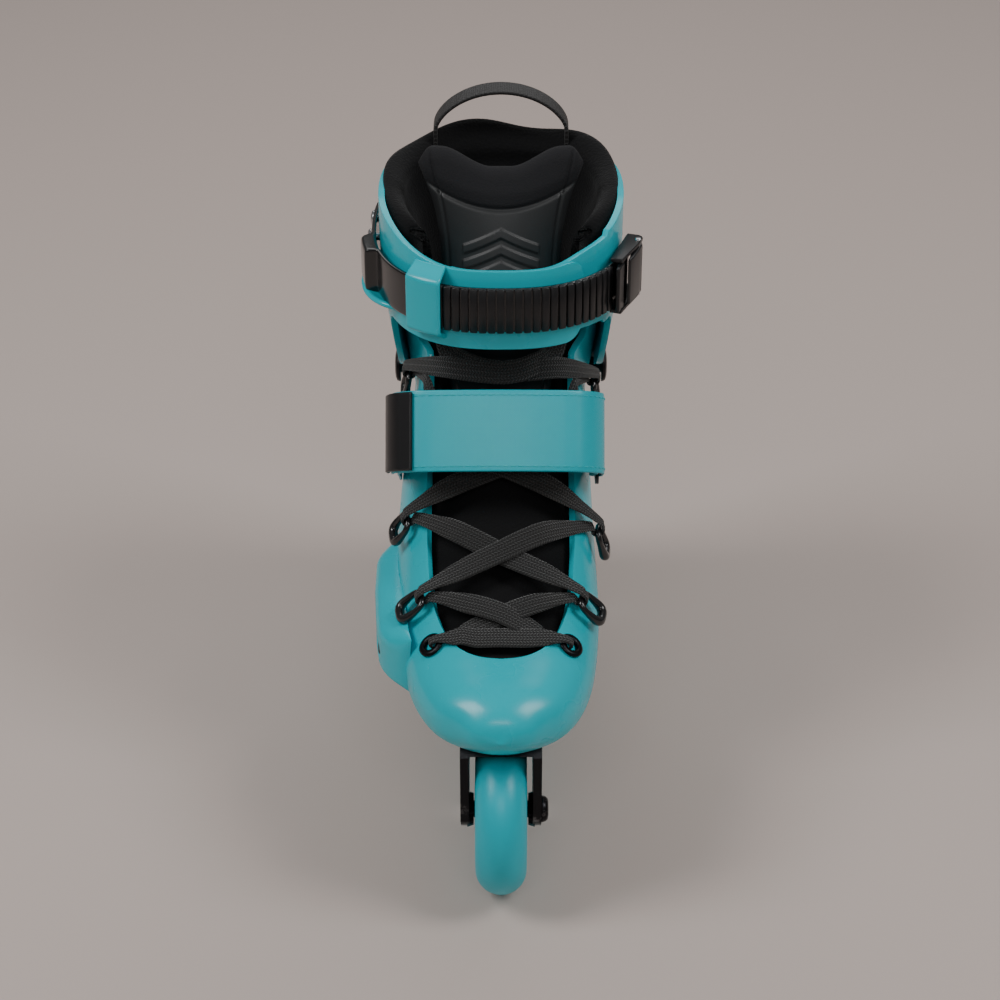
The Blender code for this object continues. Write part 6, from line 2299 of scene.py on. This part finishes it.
@dataclass
class Buckle:
    """Ratchet buckle: base with two ears and a bridge, lever, pin and release tab."""

    phi: float = 66.0
    half: float = 12.0
    ear: float = 2.2

    def place(self) -> Array:
        """Rows are the origin, along the strap to the rear, outwards and up.

        Returns:
            The four rows.
        """
        here, ahead, behind = (cuff_outer(self.phi + step, STRAP_Z, 0.0)
                               for step in (0, 6, -6))
        along = unit(ahead - behind)
        up = np.array((0.0, 0.0, 1.0))
        return np.array((here, along, np.cross(along, up), up))

    def build(self) -> None:
        """Build the four pieces in the buckle's own frame."""
        place = self.place()
        ear = [(-14, 1.6), (14, 1.6), (14, 7.6), (13.4, 9.0), (12, 9.8), (6, 9.8), (0, 9.1),
               (-6, 8.2), (-14, 7.4)]
        bridge = [(-6.5, 4.7), (-0.5, 4.7), (-0.5, 6.3), (-6.5, 6.3)]
        inside, outside = self.half, self.half + self.ear
        parts = [(extruded(outline, low, high, place).reshape(-1, 3),
                  tube_faces(2, len(outline)))
                 for outline, low, high in ((ear, -outside, -inside), (ear, inside, outside),
                                            (bridge, -inside - 0.5, inside + 0.5))]
        base = join_meshes("buckle_base_look", parts, smooth=False)
        face_outwards(base)
        add_bevel(base, 0.6, 3)
        hold(base, "cuff", BLACK_PLASTIC, "black_plastic", "buckle_base")
        lever = [(12.6, 7.0), (13.0, 9.0), (10.0, 10.34), (4.0, 10.5), (-3.0, 10.3),
                 (-8.0, 9.8), (-8.6, 8.6), (-3.0, 8.0), (3.0, 6.8), (11.0, 5.4)]
        item = put_extrusion("buckle_lever_look", lever, -11.6, 11.6, place, 0.9)
        hold(item, "lever", BLACK_PLASTIC, "black_plastic", "buckle_lever")
        tab = [(-18.5, 5.6), (-12.0, 5.0), (-9.6, 5.2), (-9.2, 6.8), (-11.4, 7.8),
               (-14.0, 7.5), (-18.5, 7.6)]
        item = put_extrusion("release_tab_look", tab, -11.4, 11.4, place, 0.7)
        hold(item, "tab", BLACK_PLASTIC, "black_plastic", "release_tab")
        origin = place[0] + place[1] * 9.0 + place[2] * 8.3
        pin = put_lathe("buckle_pin_look", [(0.02, -14.8), (1.2, -14.8), (1.6, -14.4),
                                            (1.6, 14.4), (1.2, 14.8), (0.02, 14.8)],
                        origin, place[3], 32)
        hold(pin, "cuff", BRIGHT_METAL, "steel", "buckle_pin")


@dataclass
class PullLoop:
    """Tape loop that stands on the back of the liner's collar."""

    half_span: float = 32.0
    foot: float = 292.0
    rise: float = 18.5
    half_tape: float = 6.5

    def build(self) -> None:
        """Build the tape: x = -span cos a and z = foot + rise sin^1.25 a, with straight ends."""
        spread = np.linspace(-0.25, 1.25, 120)
        angle = np.pi * np.clip(spread, 0.0, 1.0)
        tail = np.maximum(0.0, np.abs(spread - 0.5) - 0.5) * 36.0
        points = np.stack([-self.half_span * np.cos(angle), 94.0 + 3.0 * np.sin(angle),
                           self.foot + self.rise * np.sin(angle) ** 1.25 - tail], -1)
        ups = unit(np.stack([-np.cos(angle) * 26, 0 * angle, np.sin(angle) * 32 + 2], -1))
        widths = np.repeat(np.array([(0.0, 1.0, 0.0)]), len(points), axis=0)
        grid, flat = sweep_strip(points, widths, ups, np.full(120, self.half_tape),
                                 np.full(120, 1.0), 24, 0.35)
        tape = put_tube("pull_loop_look", grid, flat)
        hold(tape, "cuff", TAPE_BLACK, "black_fabric", "pull_loop")


# ---- studio

@dataclass(frozen=True)
class SoftLight:
    """A soft rectangular lamp aimed at the skate."""

    name: str
    place: tuple[float, float, float]
    size: tuple[float, float]
    power: float
    target: tuple[float, float, float] = (0.0, 0.0, 0.16)

    def build(self) -> None:
        """Add the lamp."""
        lamp = bpy.data.lights.new(self.name, "AREA")
        lamp.shape = "RECTANGLE"
        lamp.size, lamp.size_y = self.size
        lamp.energy = self.power
        item = bpy.data.objects.new(self.name, lamp)
        item.location = self.place
        way = Vector(self.target) - Vector(self.place)
        item.rotation_euler = way.to_track_quat("-Z", "Y").to_euler()
        bpy.context.scene.collection.objects.link(item)


@dataclass
class Studio:
    """Plain pale floor, soft lamps and the camera."""

    floor_half: float = 6000.0
    lens: float = 90.0
    place: tuple[float, float, float] = (0.0, -1.040, 0.785)
    aim: tuple[float, float, float] = (0.0, 0.848, -0.530)

    def build(self) -> None:
        """Build floor, world, lamps and camera."""
        corners = np.array([(-1, -1, 0), (1, -1, 0), (1, 1, 0), (-1, 1, 0)])
        floor = put_mesh("floor", corners * self.floor_half, [[0, 1, 2, 3]])
        floor.data.materials.append(Finish("pale_floor", (0.56, 0.47, 0.43), 0.85).material())
        world = bpy.data.worlds.new("studio")
        world.use_nodes = True
        world.node_tree.nodes["Background"].inputs[0].default_value = (1.0, 0.99, 0.97, 1.0)
        world.node_tree.nodes["Background"].inputs[1].default_value = 0.15
        bpy.context.scene.world = world
        for lamp in (SoftLight("key", (-1.1, -0.35, 1.45), (0.5, 0.8), 14.0),
                     SoftLight("fill", (1.1, -0.35, 1.45), (0.5, 0.8), 12.0),
                     SoftLight("front", (0.0, -1.6, 1.5), (1.2, 0.3), 6.0),
                     SoftLight("back", (0.1, 1.2, 1.3), (1.6, 0.6), 6.0)):
            lamp.build()
        data = bpy.data.cameras.new("camera")
        data.lens, data.sensor_width, data.shift_x = self.lens, 36.0, -0.001
        camera = bpy.data.objects.new("camera", data)
        camera.location = self.place
        camera.rotation_euler = Vector(self.aim).to_track_quat("-Z", "Y").to_euler()
        bpy.context.scene.collection.objects.link(camera)
        bpy.context.scene.camera = camera


def main() -> None:
    """Build every piece over the frame, in order from the ground up."""
    logging.basicConfig(level=logging.INFO, format="%(name)s: %(message)s")
    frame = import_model()
    nodes = frame["nodes"]
    Chassis(nodes).build()
    for index in range(1, 5):
        Wheel(index, (index - 2.5) * 81.0).build()
    for assembly in (Shell(), WearPlate(), Liner(), FootBed(), Tongue(), LaceHardware(),
                     Lace(nodes), InstepStrap(), Cuff(), LadderStrap(), Buckle(), PullLoop(),
                     Studio()):
        LOG.info("building %s", type(assembly).__name__)
        assembly.build()


if __name__ == "__main__":
    main()
